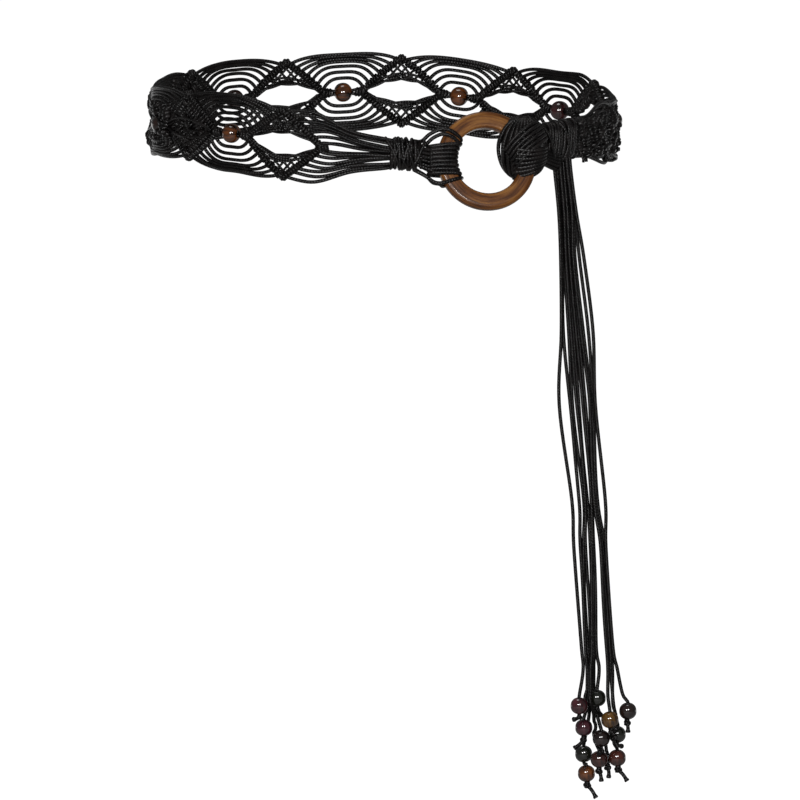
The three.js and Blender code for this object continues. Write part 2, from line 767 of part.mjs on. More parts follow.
function grownNeck() {
  return {
    ...SLEEVES.neck,
    length: NECK.length + 2 * GAP,
    height: NECK.height + 2 * GAP,
    depth: NECK.depth + 2 * GAP,
  };
}

// A place in the tassel, from its shares of the spread, the depth and the length
function inTassel(x, depth, drop) {
  const neck = loopAt(NECK_S).point;
  return new THREE.Vector3(
    neck.x + TASSEL.spread * x,
    neck.y - TASSEL.forward - TASSEL.swing * drop + TASSEL.depth * depth,
    neckBottom() - STRAND.inHead - TASSEL.length * drop,
  );
}

function beadCentre(row) {
  return inTassel(row.x, row.depth, row.drop);
}

// A place on a strand, moved sideways where it would touch a bead that isn't its own
function clearOfBeads(place, strand) {
  const reach = TASSEL_BEAD.radius + STRAND.radius + GAP + 0.6;
  for (const row of TASSEL_BEADS) {
    if (strand.beads.includes(row.number)) continue;
    const centre = beadCentre(row);
    const rise = place.z - centre.z;
    if (Math.abs(rise) >= reach) continue;
    const needed = Math.sqrt(reach * reach - rise * rise);
    const away = Math.hypot(place.x - centre.x, place.y - centre.y);
    if (away >= needed) continue;
    place.x = centre.x + ((place.x - centre.x) * needed) / away;
    place.y = centre.y + ((place.y - centre.y) * needed) / away;
  }
  return place;
}

const highestBead = Math.min(...TASSEL_BEADS.map((row) => row.drop));

// The places that a strand passes, from the head down through its beads to its knot
function strandPath(strand) {
  const table = strand.x.map((x, i) => inTassel(x, strand.depth[i], DROPS[i]));
  const lowPart = inTassel(0, 0, highestBead).z + TASSEL_BEAD.length;
  const reach = TASSEL_BEAD.length / 2 + 0.7;
  const drilled = [];
  for (const number of strand.beads) {
    const centre = beadCentre(TASSEL_BEADS[number - 1]);
    table.push(centre.clone().setZ(centre.z + reach), centre.clone().setZ(centre.z - reach));
    drilled.push(table.length - 2, table.length - 1);
  }
  if (strand.last) table.push(inTassel(...strand.last));
  const path = [table[0]];
  for (let i = 1; i < table.length; i++) {
    const drop = table[i - 1].z - table[i].z;
    const isLow = table[i].z < lowPart;
    const pieces = isLow ? Math.max(1, Math.round(drop / STRAND.finest)) : 1;
    for (let k = 1; k <= pieces; k++) {
      const place = new THREE.Vector3().lerpVectors(table[i - 1], table[i], k / pieces);
      const isDrilled = k === pieces && drilled.includes(i);
      path.push(isDrilled ? place : clearOfBeads(place, strand));
    }
  }
  const end = path[path.length - 1];
  path.push(end.clone().addScaledVector(new THREE.Vector3(...strand.knot), TASSEL_BEAD.radius));
  return path;
}

// A strand as a five-sided cord, whose sections stay level
function strandSolid(path) {
  const steps = path.length - 1;
  const shape = new THREE.Shape(ring(ellipse(STRAND.radius, STRAND.radius, 5)));
  const cord = reshaped(extrusion(shape, steps), (vertex) => {
    const at = path[steps - Math.round(vertex.z * steps)];
    return new THREE.Vector3(at.x + vertex.x, at.y + vertex.y, at.z);
  });
  return solid(cord);
}

// The knot under a strand's last bead, with its short tail
function endKnot(centre, strand) {
  const ball = new THREE.SphereGeometry(strand.lump * TASSEL_BEAD.radius, 6, 3);
  ball.translate(centre.x, centre.y, centre.z);
  const direction = new THREE.Vector3(...strand.tail).multiplyScalar(TASSEL_BEAD.radius);
  const length = direction.length();
  const tail = new THREE.CylinderGeometry(STRAND.radius, STRAND.radius, length, 5);
  const up = new THREE.Vector3(0, 1, 0);
  const spin = new THREE.Quaternion().setFromUnitVectors(up, direction.clone().normalize());
  tail.translate(0, length / 2, 0).applyQuaternion(spin);
  tail.translate(centre.x, centre.y, centre.z);
  return solid(ball).add(solid(tail));
}

// The tassel: a head under the neck wrap and eleven strands, joined in one piece
function tassel() {
  const top = neckBottom() - GAP;
  const middle = inTassel(HEAD.sideways, 0, 0).setZ(top);
  const half = new THREE.Vector3(HEAD.halfWidth, HEAD.halfDepth, 0);
  const from = middle.clone().sub(half).setZ(top - HEAD.height);
  const head = block(from, middle.clone().add(half));
  let body = solid(head).add(solid(headPlug(0)));
  STRANDS.forEach((strand) => {
    const path = strandPath(strand);
    body = body.add(strandSolid(path));
    body = body.add(endKnot(path[path.length - 1], strand));
  });
  return geometryOf(body);
}

// Assembly
const belt = new THREE.Group();
belt.name = "woven_tassel_belt";
belt.add(named("woven_band", wovenBand(), FINISHES.cord));
belt.add(named("gathering_knot", gatheringKnot(), FINISHES.cord));
belt.add(named("ring_hitches", ringHitches(), FINISHES.cord));
belt.add(named("wood_ring", woodRing(0, 30), FINISHES.ring));
belt.add(named("closing_knot", closingKnot(), FINISHES.cord));
belt.add(named("neck_wrap", neckWrap(), FINISHES.cord));
belt.add(named("tassel", tassel(), FINISHES.cord));
for (let i = 0; i < MOTIF.count - 1; i++) {
  const s = FIRST + (i + 0.5) * PITCH;
  const before = onLoop(s - BELT_BEAD.length / 2, 0, 0);
  const after = onLoop(s + BELT_BEAD.length / 2, 0, 0);
  const centre = new THREE.Vector3().addVectors(before, after).divideScalar(2);
  const direction = new THREE.Vector3().subVectors(after, before).normalize();
  belt.add(named("belt_bead_" + (i + 1), bead(BELT_BEAD, BELT_HOLE, centre, direction), FINISHES.bead));
}
for (const row of TASSEL_BEADS) {
  const geometry = bead(TASSEL_BEAD, TASSEL_HOLE, beadCentre(row), new THREE.Vector3(0, 0, 1));
  const finish = { ...FINISHES.bead, color: row.colour };
  belt.add(named("tassel_bead_" + row.number, geometry, finish));
}

export default belt;
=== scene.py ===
"""Looks of a woven tassel belt: a netted cord band, a wood ring, knots and a beaded tassel.

Lengths are in millimetres until a mesh is made, and metres from there on. The belt's middle line
runs round an oval in the row's own frame: X to the right, -Y to the viewer, Z up.

ASKEW is a direction that no cord starts in, from which the way across it is found. BEAD_STOPS are
the places of a bead's dark and light colour in its tone.
"""

from __future__ import annotations

import logging
import math
from dataclasses import dataclass, field
from enum import Enum

import bpy
import numpy as np
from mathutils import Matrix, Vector


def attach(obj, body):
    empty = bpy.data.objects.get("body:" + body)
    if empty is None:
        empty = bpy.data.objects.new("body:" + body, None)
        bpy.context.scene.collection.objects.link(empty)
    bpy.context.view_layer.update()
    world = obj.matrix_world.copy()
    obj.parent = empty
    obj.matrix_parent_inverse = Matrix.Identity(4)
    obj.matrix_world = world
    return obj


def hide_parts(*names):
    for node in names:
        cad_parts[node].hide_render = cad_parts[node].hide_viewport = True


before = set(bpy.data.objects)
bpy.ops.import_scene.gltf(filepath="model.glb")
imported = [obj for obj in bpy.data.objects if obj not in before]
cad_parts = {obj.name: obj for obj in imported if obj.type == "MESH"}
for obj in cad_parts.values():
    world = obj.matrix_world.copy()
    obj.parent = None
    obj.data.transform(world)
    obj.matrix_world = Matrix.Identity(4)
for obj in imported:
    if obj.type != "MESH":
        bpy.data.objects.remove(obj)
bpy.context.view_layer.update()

LOG = logging.getLogger("belt")
MM = 0.001
TURN = 2 * math.pi
ASKEW = (0.31, 0.17, 0.93)
BEAD_STOPS = (0.41, 0.64)
Array = np.ndarray
Socket = bpy.types.NodeSocket
Material = bpy.types.Material


# Shading


class Shader:
    """A node tree of one material, with short calls to add its nodes."""

    def __init__(self, name: str) -> None:
        """Start a material with one surface shader.

        Args:
            name: The material's name.
        """
        self.material = bpy.data.materials.new(name)
        self.material.use_nodes = True
        self.tree = self.material.node_tree
        self.tree.nodes.clear()
        output = self.node("OutputMaterial")
        self.surface = self.node("BsdfPrincipled")
        self.tree.links.new(self.surface.outputs[0], output.inputs[0])

    def feed(self, slot: Socket, value: object) -> None:
        """Link a socket to an input, or set the input to a constant.

        Args:
            slot: The input.
            value: The socket or the constant, or None to leave the input as it is.
        """
        if isinstance(value, Socket):
            self.tree.links.new(value, slot)
        elif value is not None:
            slot.default_value = value

    def node(self, kind: str, *inputs: object, **options: object) -> bpy.types.Node:
        """Add a node and feed its inputs in order.

        Args:
            kind: The node's type, without its common prefix.
            *inputs: A socket to link or a value to set, or None to leave one as it is.
            **options: Properties of the node.

        Returns:
            The node.
        """
        node = self.tree.nodes.new("ShaderNode" + kind)
        for key, value in options.items():
            setattr(node, key, value)
        for slot, value in zip(node.inputs, inputs):
            self.feed(slot, value)
        return node

    def math(self, operation: str, *inputs: object, **options: object) -> Socket:
        """Return the result of one step of arithmetic on sockets or numbers."""
        return self.node("Math", *inputs, operation=operation, **options).outputs[0]

    def range(self, value: Socket, low: float, high: float) -> Socket:
        """Return a value between 0 and 1 spread over the range from low to high."""
        return self.math("MULTIPLY_ADD", value, high - low, low)

    def place(self) -> Socket:
        """Return the place on the object, in metres."""
        return self.node("TexCoord").outputs["Object"]

    def marks(self) -> Socket:
        """Return the length along a cord or round a turned piece, and the place round its section."""
        return self.node("UVMap", uv_map="along").outputs[0]

    def parts(self, vector: Socket) -> bpy.types.bpy_prop_collection:
        """Return the three parts of a vector."""
        return self.node("SeparateXYZ", vector).outputs

    def noise(self, where: Socket, scale: float, detail: float) -> Socket:
        """Return noise between 0 and 1, with this many features in one unit and finer layers."""
        return self.node("TexNoise", where, None, scale, detail).outputs[0]

    def streaks(self, scale: tuple, detail: float) -> Socket:
        """Return noise that is stretched by different scales along a piece and round its section."""
        stretched = self.node("Mapping", self.marks(), None, None, (*scale, 1)).outputs[0]
        return self.noise(stretched, 1.0, detail)

    def ramp(self, value: Socket, *stops: tuple) -> Socket:
        """Turn a value into a colour.

        Args:
            value: The socket to read.
            *stops: Places with their colours.

        Returns:
            The colour.
        """
        node = self.node("ValToRGB", value)
        elements = node.color_ramp.elements
        while len(elements) < len(stops):
            elements.new(0.5)
        for element, (place, colour) in zip(elements, stops):
            element.position = place
            element.color = (*colour, 1)
        return node.outputs[0]

    def set(self, **values: object) -> None:
        """Feed inputs of the surface shader, by their names with _ for a space."""
        for key, value in values.items():
            self.feed(self.surface.inputs[key.replace("_", " ")], value)

    def bump(self, height: Socket, depth: float, strength: float) -> None:
        """Raise the surface by a height.

        Args:
            height: The socket that gives the height.
            depth: The depth of the relief in millimetres.
            strength: How much of it shows.
        """
        node = self.node("Bump")
        self.feed(node.inputs["Strength"], strength)
        self.feed(node.inputs["Distance"], depth * MM)
        self.feed(node.inputs["Height"], height)
        self.set(Normal=node.outputs[0])


@dataclass(frozen=True)
class Finish:
    """A finish: the stops of its colour, its roughness, shine, coat and relief.

    The coat is its weight, its roughness and its index of refraction. The relief is its depth in
    millimetres and how much of it shows.
    """

    name: str
    stops: tuple
    roughness: tuple
    shine: float
    relief: tuple
    coat: tuple = (0, 0.03, 1.5)

    def pattern(self, shade: Shader) -> tuple[Socket, Socket, Socket]:
        """Lay out the finish's pattern.

        Args:
            shade: The material's shader.

        Returns:
            The tone that picks the colour, the value that roughens, and the height.
        """
        raise NotImplementedError

    def make(self) -> Material:
        """Build the material.

        Returns:
            The material.
        """
        shade = Shader(self.name)
        tone, rough, height = self.pattern(shade)
        weight, coat_roughness, index = self.coat
        shade.set(
            Base_Color=shade.ramp(tone, *self.stops),
            Roughness=shade.range(rough, *self.roughness),
            Specular_IOR_Level=self.shine,
            Coat_Weight=weight,
            Coat_Roughness=coat_roughness,
            Coat_IOR=index,
        )
        shade.bump(height, *self.relief)
        return shade.material


@dataclass(frozen=True)
class CordFinish(Finish):
    """Black waxed braided cord, with the braid laid along and round each cord."""

    name: str = "black_waxed_cord"
    # Painted highlight: the braid's crests lean to the light stop, and its grooves to the dark one as
    # painted shade.
    stops: tuple = ((0.4, (0.0016, 0.0013, 0.0013)), (1.0, (0.02, 0.0165, 0.016)))
    roughness: tuple = (0.2, 0.46)
    shine: float = 0.24
    relief: tuple = (0.11, 0.9)
    pitch: float = 1.75
    threads: int = 2
    # The share of the tone that the braid paints as highlight on its crests and shade in its grooves.
    braid: float = 0.36
    fibre_scale: float = 2600
    fibre_tones: tuple = (0.3, 1.0)
    fibre_relief: float = 0.35
    patch_scale: float = 160
    patch_tones: tuple = (0.2, 1.5)

    def pattern(self, shade: Shader) -> tuple[Socket, Socket, Socket]:
        """Lay two crossing sets of threads round the cord, with fibres and waxed patches.

        Args:
            shade: The material's shader.

        Returns:
            The tone of the braid, with painted highlight on its crests and painted shade in its
            grooves, the patches, and the height of braid and fibres.
        """
        along, around, _ = shade.parts(shade.marks())
        turns = shade.math("MULTIPLY", along, TURN / self.pitch)
        circles = shade.math("MULTIPLY", around, self.threads * TURN)
        left = shade.math("SINE", shade.math("ADD", turns, circles))
        right = shade.math("SINE", shade.math("SUBTRACT", turns, circles))
        braid = shade.math("MAXIMUM", left, right)
        fibres = shade.noise(shade.place(), self.fibre_scale, 2)
        patches = shade.noise(shade.place(), self.patch_scale, 3)
        # Painted highlight and shade: the braid's crests are lighter and its grooves darker.
        painted_crest_light = shade.range(braid, 1 - self.braid, 1.0)
        lift = shade.math("MULTIPLY", painted_crest_light, shade.range(fibres, *self.fibre_tones))
        tone = shade.math("MULTIPLY", lift, shade.range(patches, *self.patch_tones))
        return tone, patches, shade.math("MULTIPLY_ADD", fibres, self.fibre_relief, braid)


@dataclass(frozen=True)
class RingFinish(Finish):
    """Polished brown ring wood, with streaks that run round the ring."""

    name: str = "polished_ring_wood"
    stops: tuple = (
        (0.4, (0.036, 0.011, 0.003)),
        (0.5, (0.107, 0.036, 0.0075)),
        (0.62, (0.23, 0.098, 0.021)),
    )
    roughness: tuple = (0.3, 0.48)
    shine: float = 0.2
    relief: tuple = (0.06, 0.5)
    coat: tuple = (0.2, 0.12, 1.5)
    streak_scale: tuple = (0.035, 0.55)
    pore_scale: tuple = (0.25, 6.0)
    pore_share: float = 0.28
    grain_share: float = 0.75
    patch_scale: float = 38
    patch_tones: tuple = (0, 0.26)
    # Painted top light: how much lighter the wood is made per metre upwards.
    painted_top_light: float = 1.5
    lighter: float = 0.02

    def pattern(self, shade: Shader) -> tuple[Socket, Socket, Socket]:
        """Lay streaks and pores along the ring.

        Args:
            shade: The material's shader.

        Returns:
            The tone of the grain, with painted light that makes it lighter upwards, and the pores for
            roughness and height.
        """
        streaks = shade.streaks(self.streak_scale, 6)
        pores = shade.streaks(self.pore_scale, 4)
        wide = shade.math("MULTIPLY", streaks, 1 - self.pore_share)
        grain = shade.math("MULTIPLY_ADD", pores, self.pore_share, wide)
        height = shade.parts(shade.place())[2]
        # Painted light: the wood is lighter towards the top of the ring.
        upwards = shade.math("MULTIPLY_ADD", height, self.painted_top_light, self.lighter)
        patches = shade.range(shade.noise(shade.place(), self.patch_scale, 2), *self.patch_tones)
        cloud = shade.math("ADD", patches, upwards)
        return shade.math("MULTIPLY_ADD", grain, self.grain_share, cloud), pores, pores


@dataclass(frozen=True)
class BeadFinish(Finish):
    """Glossy stained bead wood in one of several tints, with streaks along the bead's bore."""

    roughness: tuple = (0.26, 0.4)
    shine: float = 0.1
    relief: tuple = (0.03, 0.4)
    coat: tuple = (1.0, 0.04, 1.7)
    streak_scale: tuple = (0.55, 0.11)
    streak_share: float = 0.55
    cloud_scale: float = 130

    def pattern(self, shade: Shader) -> tuple[Socket, Socket, Socket]:
        """Lay streaks and clouds over the bead.

        Args:
            shade: The material's shader.

        Returns:
            The tone of both, and the streaks for roughness and height.
        """
        streaks = shade.streaks(self.streak_scale, 5)
        cloud = shade.noise(shade.place(), self.cloud_scale, 2)
        soft = shade.math("MULTIPLY", cloud, 1 - self.streak_share)
        return shade.math("MULTIPLY_ADD", streaks, self.streak_share, soft), streaks, streaks


class BeadTint(Enum):
    """The tints of the beads, each with its slot in the record and its colours; one is painted shade.
    """

    BELT = ("belt_bead_wood", (0.003, 0.001, 0.0006), (0.14, 0.039, 0.006))
    DUSKY = ("belt_bead_wood", (0.006, 0.002, 0.002), (0.05, 0.012, 0.013))
    # Painted shade: the belt bead's wood darkened for beads that lie in the shade of bunched cords.
    SHADED = ("belt_bead_wood", (0.004, 0.002, 0.0015), (0.02, 0.007, 0.004))
    PLUM = ("red_bead_wood", (0.012, 0.003, 0.004), (0.1, 0.02, 0.028))
    WINE = ("red_bead_wood", (0.006, 0.002, 0.003), (0.055, 0.011, 0.018))
    AMBER = ("brown_bead_wood", (0.012, 0.0035, 0.0015), (0.16, 0.048, 0.01))
    RUSSET = ("brown_bead_wood", (0.009, 0.0025, 0.002), (0.075, 0.017, 0.01))
    OLIVE = ("brown_bead_wood", (0.018, 0.007, 0.0015), (0.17, 0.078, 0.01))
    COFFEE = ("dark_bead_wood", (0.004, 0.002, 0.002), (0.02, 0.009, 0.008))
    MOSS = ("dark_bead_wood", (0.0025, 0.003, 0.0022), (0.009, 0.01, 0.0068))

    def material(self) -> Material:
        """Find the material of this tint, or make it for the first bead that asks for it.

        Returns:
            The material.
        """
        name = "bead_" + self.name.lower()
        _, deep, light = self.value
        stops = tuple(zip(BEAD_STOPS, (deep, light)))
        return bpy.data.materials.get(name) or BeadFinish(name, stops).make()


# Mesh making


def matched(*values: object) -> list[Array]:
    """Return numbers and arrays as arrays of one shape."""
    return np.broadcast_arrays(*(np.asarray(value, float) for value in values))


def distances(points: Array) -> Array:
    """Return how far along a path each of its points is."""
    gaps = np.linalg.norm(np.diff(points, axis=0), axis=1)
    return np.concatenate([[0], np.cumsum(gaps)])


def circle(steps: int) -> Array:
    """Return angles spread evenly over one turn."""
    return np.arange(steps) * TURN / steps


def smooth(points: Array, step: float) -> Array:
    """Run a smooth curve through a few points.

    Args:
        points: The points that it passes.
        step: The distance wanted between the new points.

    Returns:
        Points laid evenly along the curve, both ends kept.
    """
    points = np.asarray(points, dtype=float)
    rows = np.vstack([2 * points[0] - points[1], points, 2 * points[-1] - points[-2]])
    t = np.linspace(0, 1, 9)[:-1, None]
    parts = []
    for a, b, c, d in zip(rows, rows[1:], rows[2:], rows[3:]):
        bend = 2 * b + (c - a) * t + (2 * a - 5 * b + 4 * c - d) * t**2
        parts.append(0.5 * (bend + (3 * b - a - 3 * c + d) * t**3))
    path = np.vstack([*parts, rows[-2]])
    along = distances(path)
    wanted = np.linspace(0, along[-1], max(2, int(round(along[-1] / step)) + 1))
    return np.stack([np.interp(wanted, along, path[:, k]) for k in range(3)], axis=1)


def finished(name: str, mesh: bpy.types.Mesh, finish: Material, node: str) -> None:
    """Make a piece of a mesh and let it stand for a CAD node.

    Args:
        name: The piece's name.
        mesh: Its mesh, in metres.
        finish: Its material.
        node: The node that it stands for.
    """
    mesh.materials.append(finish)
    piece = bpy.data.objects.new(name, mesh)
    bpy.context.collection.objects.link(piece)
    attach(piece, "root")
    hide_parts(node)
    LOG.info("%s: %d faces", name, len(mesh.polygons))


@dataclass
class CordMesh:
    """Cords gathered into one mesh, with a length along and a share round each of them."""

    sides: int
    corners: list = field(default_factory=list)
    quads: list = field(default_factory=list)
    marks: list = field(default_factory=list)
    caps: list = field(default_factory=list)
    count: int = 0

    def add(self, points: Array, radius: float | Array, closed: bool = False) -> None:
        """Add one cord.

        Args:
            points: The line that it follows.
            radius: Its radius, or one for each point.
            closed: Whether its last point is joined to its first.
        """
        points = np.asarray(points, dtype=float)
        n, sides = len(points), self.sides
        radius = np.broadcast_to(np.asarray(radius, dtype=float), (n,))
        if closed:
            heading = np.roll(points, -1, axis=0) - np.roll(points, 1, axis=0)
        else:
            heading = np.gradient(points, axis=0)
        heading /= np.linalg.norm(heading, axis=1)[:, None]
        across = np.zeros((n, 3))
        across[0] = np.cross(heading[0], ASKEW)
        across[0] /= np.linalg.norm(across[0])
        for i in range(1, n):
            side = across[i - 1] - heading[i] * np.dot(across[i - 1], heading[i])
            across[i] = side / np.linalg.norm(side)
        other = np.cross(heading, across)
        angle = circle(sides)[None, :, None]
        rim = across[:, None, :] * np.cos(angle) + other[:, None, :] * np.sin(angle)
        self.corners.append((points[:, None, :] + rim * radius[:, None, None]).reshape(-1, 3))
        rows = n if closed else n - 1
        i, k = (grid.ravel() for grid in np.meshgrid(range(rows), range(sides), indexing="ij"))
        here, ahead, beside = i * sides, (i + 1) % n * sides, (k + 1) % sides
        quad = np.stack([here + k, here + beside, ahead + beside, ahead + k], 1)
        self.quads.append(quad + self.count)
        along = distances(np.vstack([points, points[:1]]))
        length = np.stack([along[i], along[i], along[i + 1], along[i + 1]], 1)
        share = np.stack([k, k + 1, k + 1, k], 1) / sides
        self.marks.append(np.stack([length, share], 2))
        if not closed:
            last = self.count + (n - 1) * sides
            self.caps.append(range(self.count + sides - 1, self.count - 1, -1))
            self.caps.append(range(last, last + sides))
        self.count += n * sides

    def build(self, name: str, finish: Material, node: str) -> None:
        """Make the piece.

        Args:
            name: Its name.
            finish: The cord's material.
            node: The node that it stands for.
        """
        corners = np.vstack(self.corners) * MM
        quads = np.vstack(self.quads)
        caps = np.array(self.caps, dtype=int).reshape(-1, self.sides)
        mesh = bpy.data.meshes.new(name)
        mesh.vertices.add(len(corners))
        mesh.vertices.foreach_set("co", corners.ravel())
        loops = np.concatenate([quads.ravel(), caps.ravel()])
        mesh.loops.add(len(loops))
        mesh.loops.foreach_set("vertex_index", loops)
        sizes = np.repeat([4, self.sides], [len(quads), len(caps)])
        mesh.polygons.add(len(sizes))
        mesh.polygons.foreach_set("loop_start", np.cumsum(sizes) - sizes)
        mesh.polygons.foreach_set("use_smooth", np.arange(len(sizes)) < len(quads))
        mesh.update(calc_edges=True)
        layer = mesh.uv_layers.new(name="along")
        marks = np.vstack([np.vstack(self.marks).reshape(-1, 2), np.zeros((caps.size, 2))])
        layer.data.foreach_set("uv", marks.astype(np.float32).ravel())
        mesh.validate()
        finished(name, mesh, finish, node)


def turned(name: str, profile: Array, sides: int, place: Array, turn: Array) -> bpy.types.Mesh:
    """Turn a closed profile about an axis.

    Args:
        name: The mesh's name.
        profile: Rows of radius and height, in millimetres, running round the section.
        sides: How many steps there are round the axis.
        place: The centre in millimetres.
        turn: Columns that give the directions of radius at the start, radius later and the axis.

    Returns:
        The mesh, with a length round and along the profile on it.
    """
    rows = len(profile)
    angle = circle(sides)[:, None]
    radius, height = profile.T
    flat = np.stack(matched(np.cos(angle) * radius, np.sin(angle) * radius, height), -1)
    corners = (flat.reshape(-1, 3) @ turn.T + place) * MM
    along = distances(np.vstack([profile, profile[:1]]))
    step = TURN / sides * profile[:, 0].max()
    faces, marks = [], []
    for i in range(sides):
        for k in range(rows):
            j, m = (i + 1) % sides, (k + 1) % rows
            faces.append((i * rows + k, j * rows + k, j * rows + m, i * rows + m))
            here, there = i * step, (i + 1) * step
            marks += [here, along[k], there, along[k], there, along[k + 1], here, along[k + 1]]
    mesh = bpy.data.meshes.new(name)
    mesh.from_pydata(corners.tolist(), [], faces)
    mesh.uv_layers.new(name="along").data.foreach_set("uv", marks)
    mesh.polygons.foreach_set("use_smooth", [True] * len(faces))
    mesh.update()
    return mesh


# The belt's line


@dataclass
class BeltLine:
    """The oval that the belt follows, and the places of its pieces along it.

    A row of rises is a place, counted in diamonds from the first, and the middle line's height there
    as a share of half the band's height.
    """

    half_width: float = 139
    half_depth: float = 118
    half_height: float = 20
    motif_half: float = 24
    motifs: int = 9
    ring_s: float = -63.4
    gather_from_ring: float = 50.4
    gather_length: float = 18
    gather_fan: float = 40
    neck_from_ring: float = 53.3
    neck_length: float = 15
    neck_fan: float = 31.3
    seat: float = 1
    steps: int = 1440
    rises: tuple = (
        (-1.75, -0.485), (-1.2, -0.25), (-1, -0.17), (0, 0.05), (0.5, 0.25),
        (1, 0.25), (2, 0.05), (4, 0.05), (5, 0.12), (6, -0.13), (6.5, -0.2),
        (7, -0.1), (8, -0.05), (9, -0.08),
    )

    def __post_init__(self) -> None:
        """Measure the oval."""
        self.turns = np.linspace(0, TURN, self.steps + 1)
        middle = (self.turns[1:] + self.turns[:-1]) / 2
        speed = np.hypot(self.half_width * np.cos(middle), self.half_depth * np.sin(middle))
        self.lengths = np.concatenate([[0], np.cumsum(speed * (TURN / self.steps))])
        self.length = float(self.lengths[-1])
        self.gather_s = self.ring_s + self.gather_from_ring
        self.neck_s = self.length + self.ring_s - self.neck_from_ring
        half_gather = self.gather_length / 2 + self.seat + self.gather_fan
        half_neck = self.neck_length / 2 + self.seat + self.neck_fan
        self.first = self.gather_s + half_gather + self.motif_half
        self.last = self.neck_s - half_neck - self.motif_half
        self.pitch = (self.last - self.first) / (self.motifs - 1)

    def lift(self, s: Array) -> Array:
        """Return the height of the middle line at lengths along the belt.

        Args:
            s: The lengths.

        Returns:
            The heights.
        """
        places, heights = np.array(self.rises).T
        step = np.clip((np.asarray(s) - self.first) / self.pitch, places[0], places[-1])
        i = np.clip(np.searchsorted(places, step, side="right"), 1, len(places) - 1)
        share = (step - places[i - 1]) / (places[i] - places[i - 1])
        eased = share * share * (3 - 2 * share)
        return (heights[i - 1] + (heights[i] - heights[i - 1]) * eased) * self.half_height

    def place(self, s: Array, height: Array, outward: Array) -> Array:
        """Return places by their length along the belt, height over it and distance out of it.

        Args:
            s: Lengths along the belt.
            height: Heights over its middle line.
            outward: Distances out of it.

        Returns:
            One row for each place.
        """
        s, height, outward = matched(s, height, outward)
        angle = np.interp(np.mod(s, self.length), self.lengths, self.turns)
        out = np.stack([-self.half_depth * np.sin(angle), -self.half_width * np.cos(angle)], -1)
        out /= np.linalg.norm(out, axis=-1)[..., None]
        x = -self.half_width * np.sin(angle) + out[..., 0] * outward
        y = -self.half_depth * np.cos(angle) + out[..., 1] * outward
        return np.stack([x, y, self.lift(s) + height], -1)


# The netted band


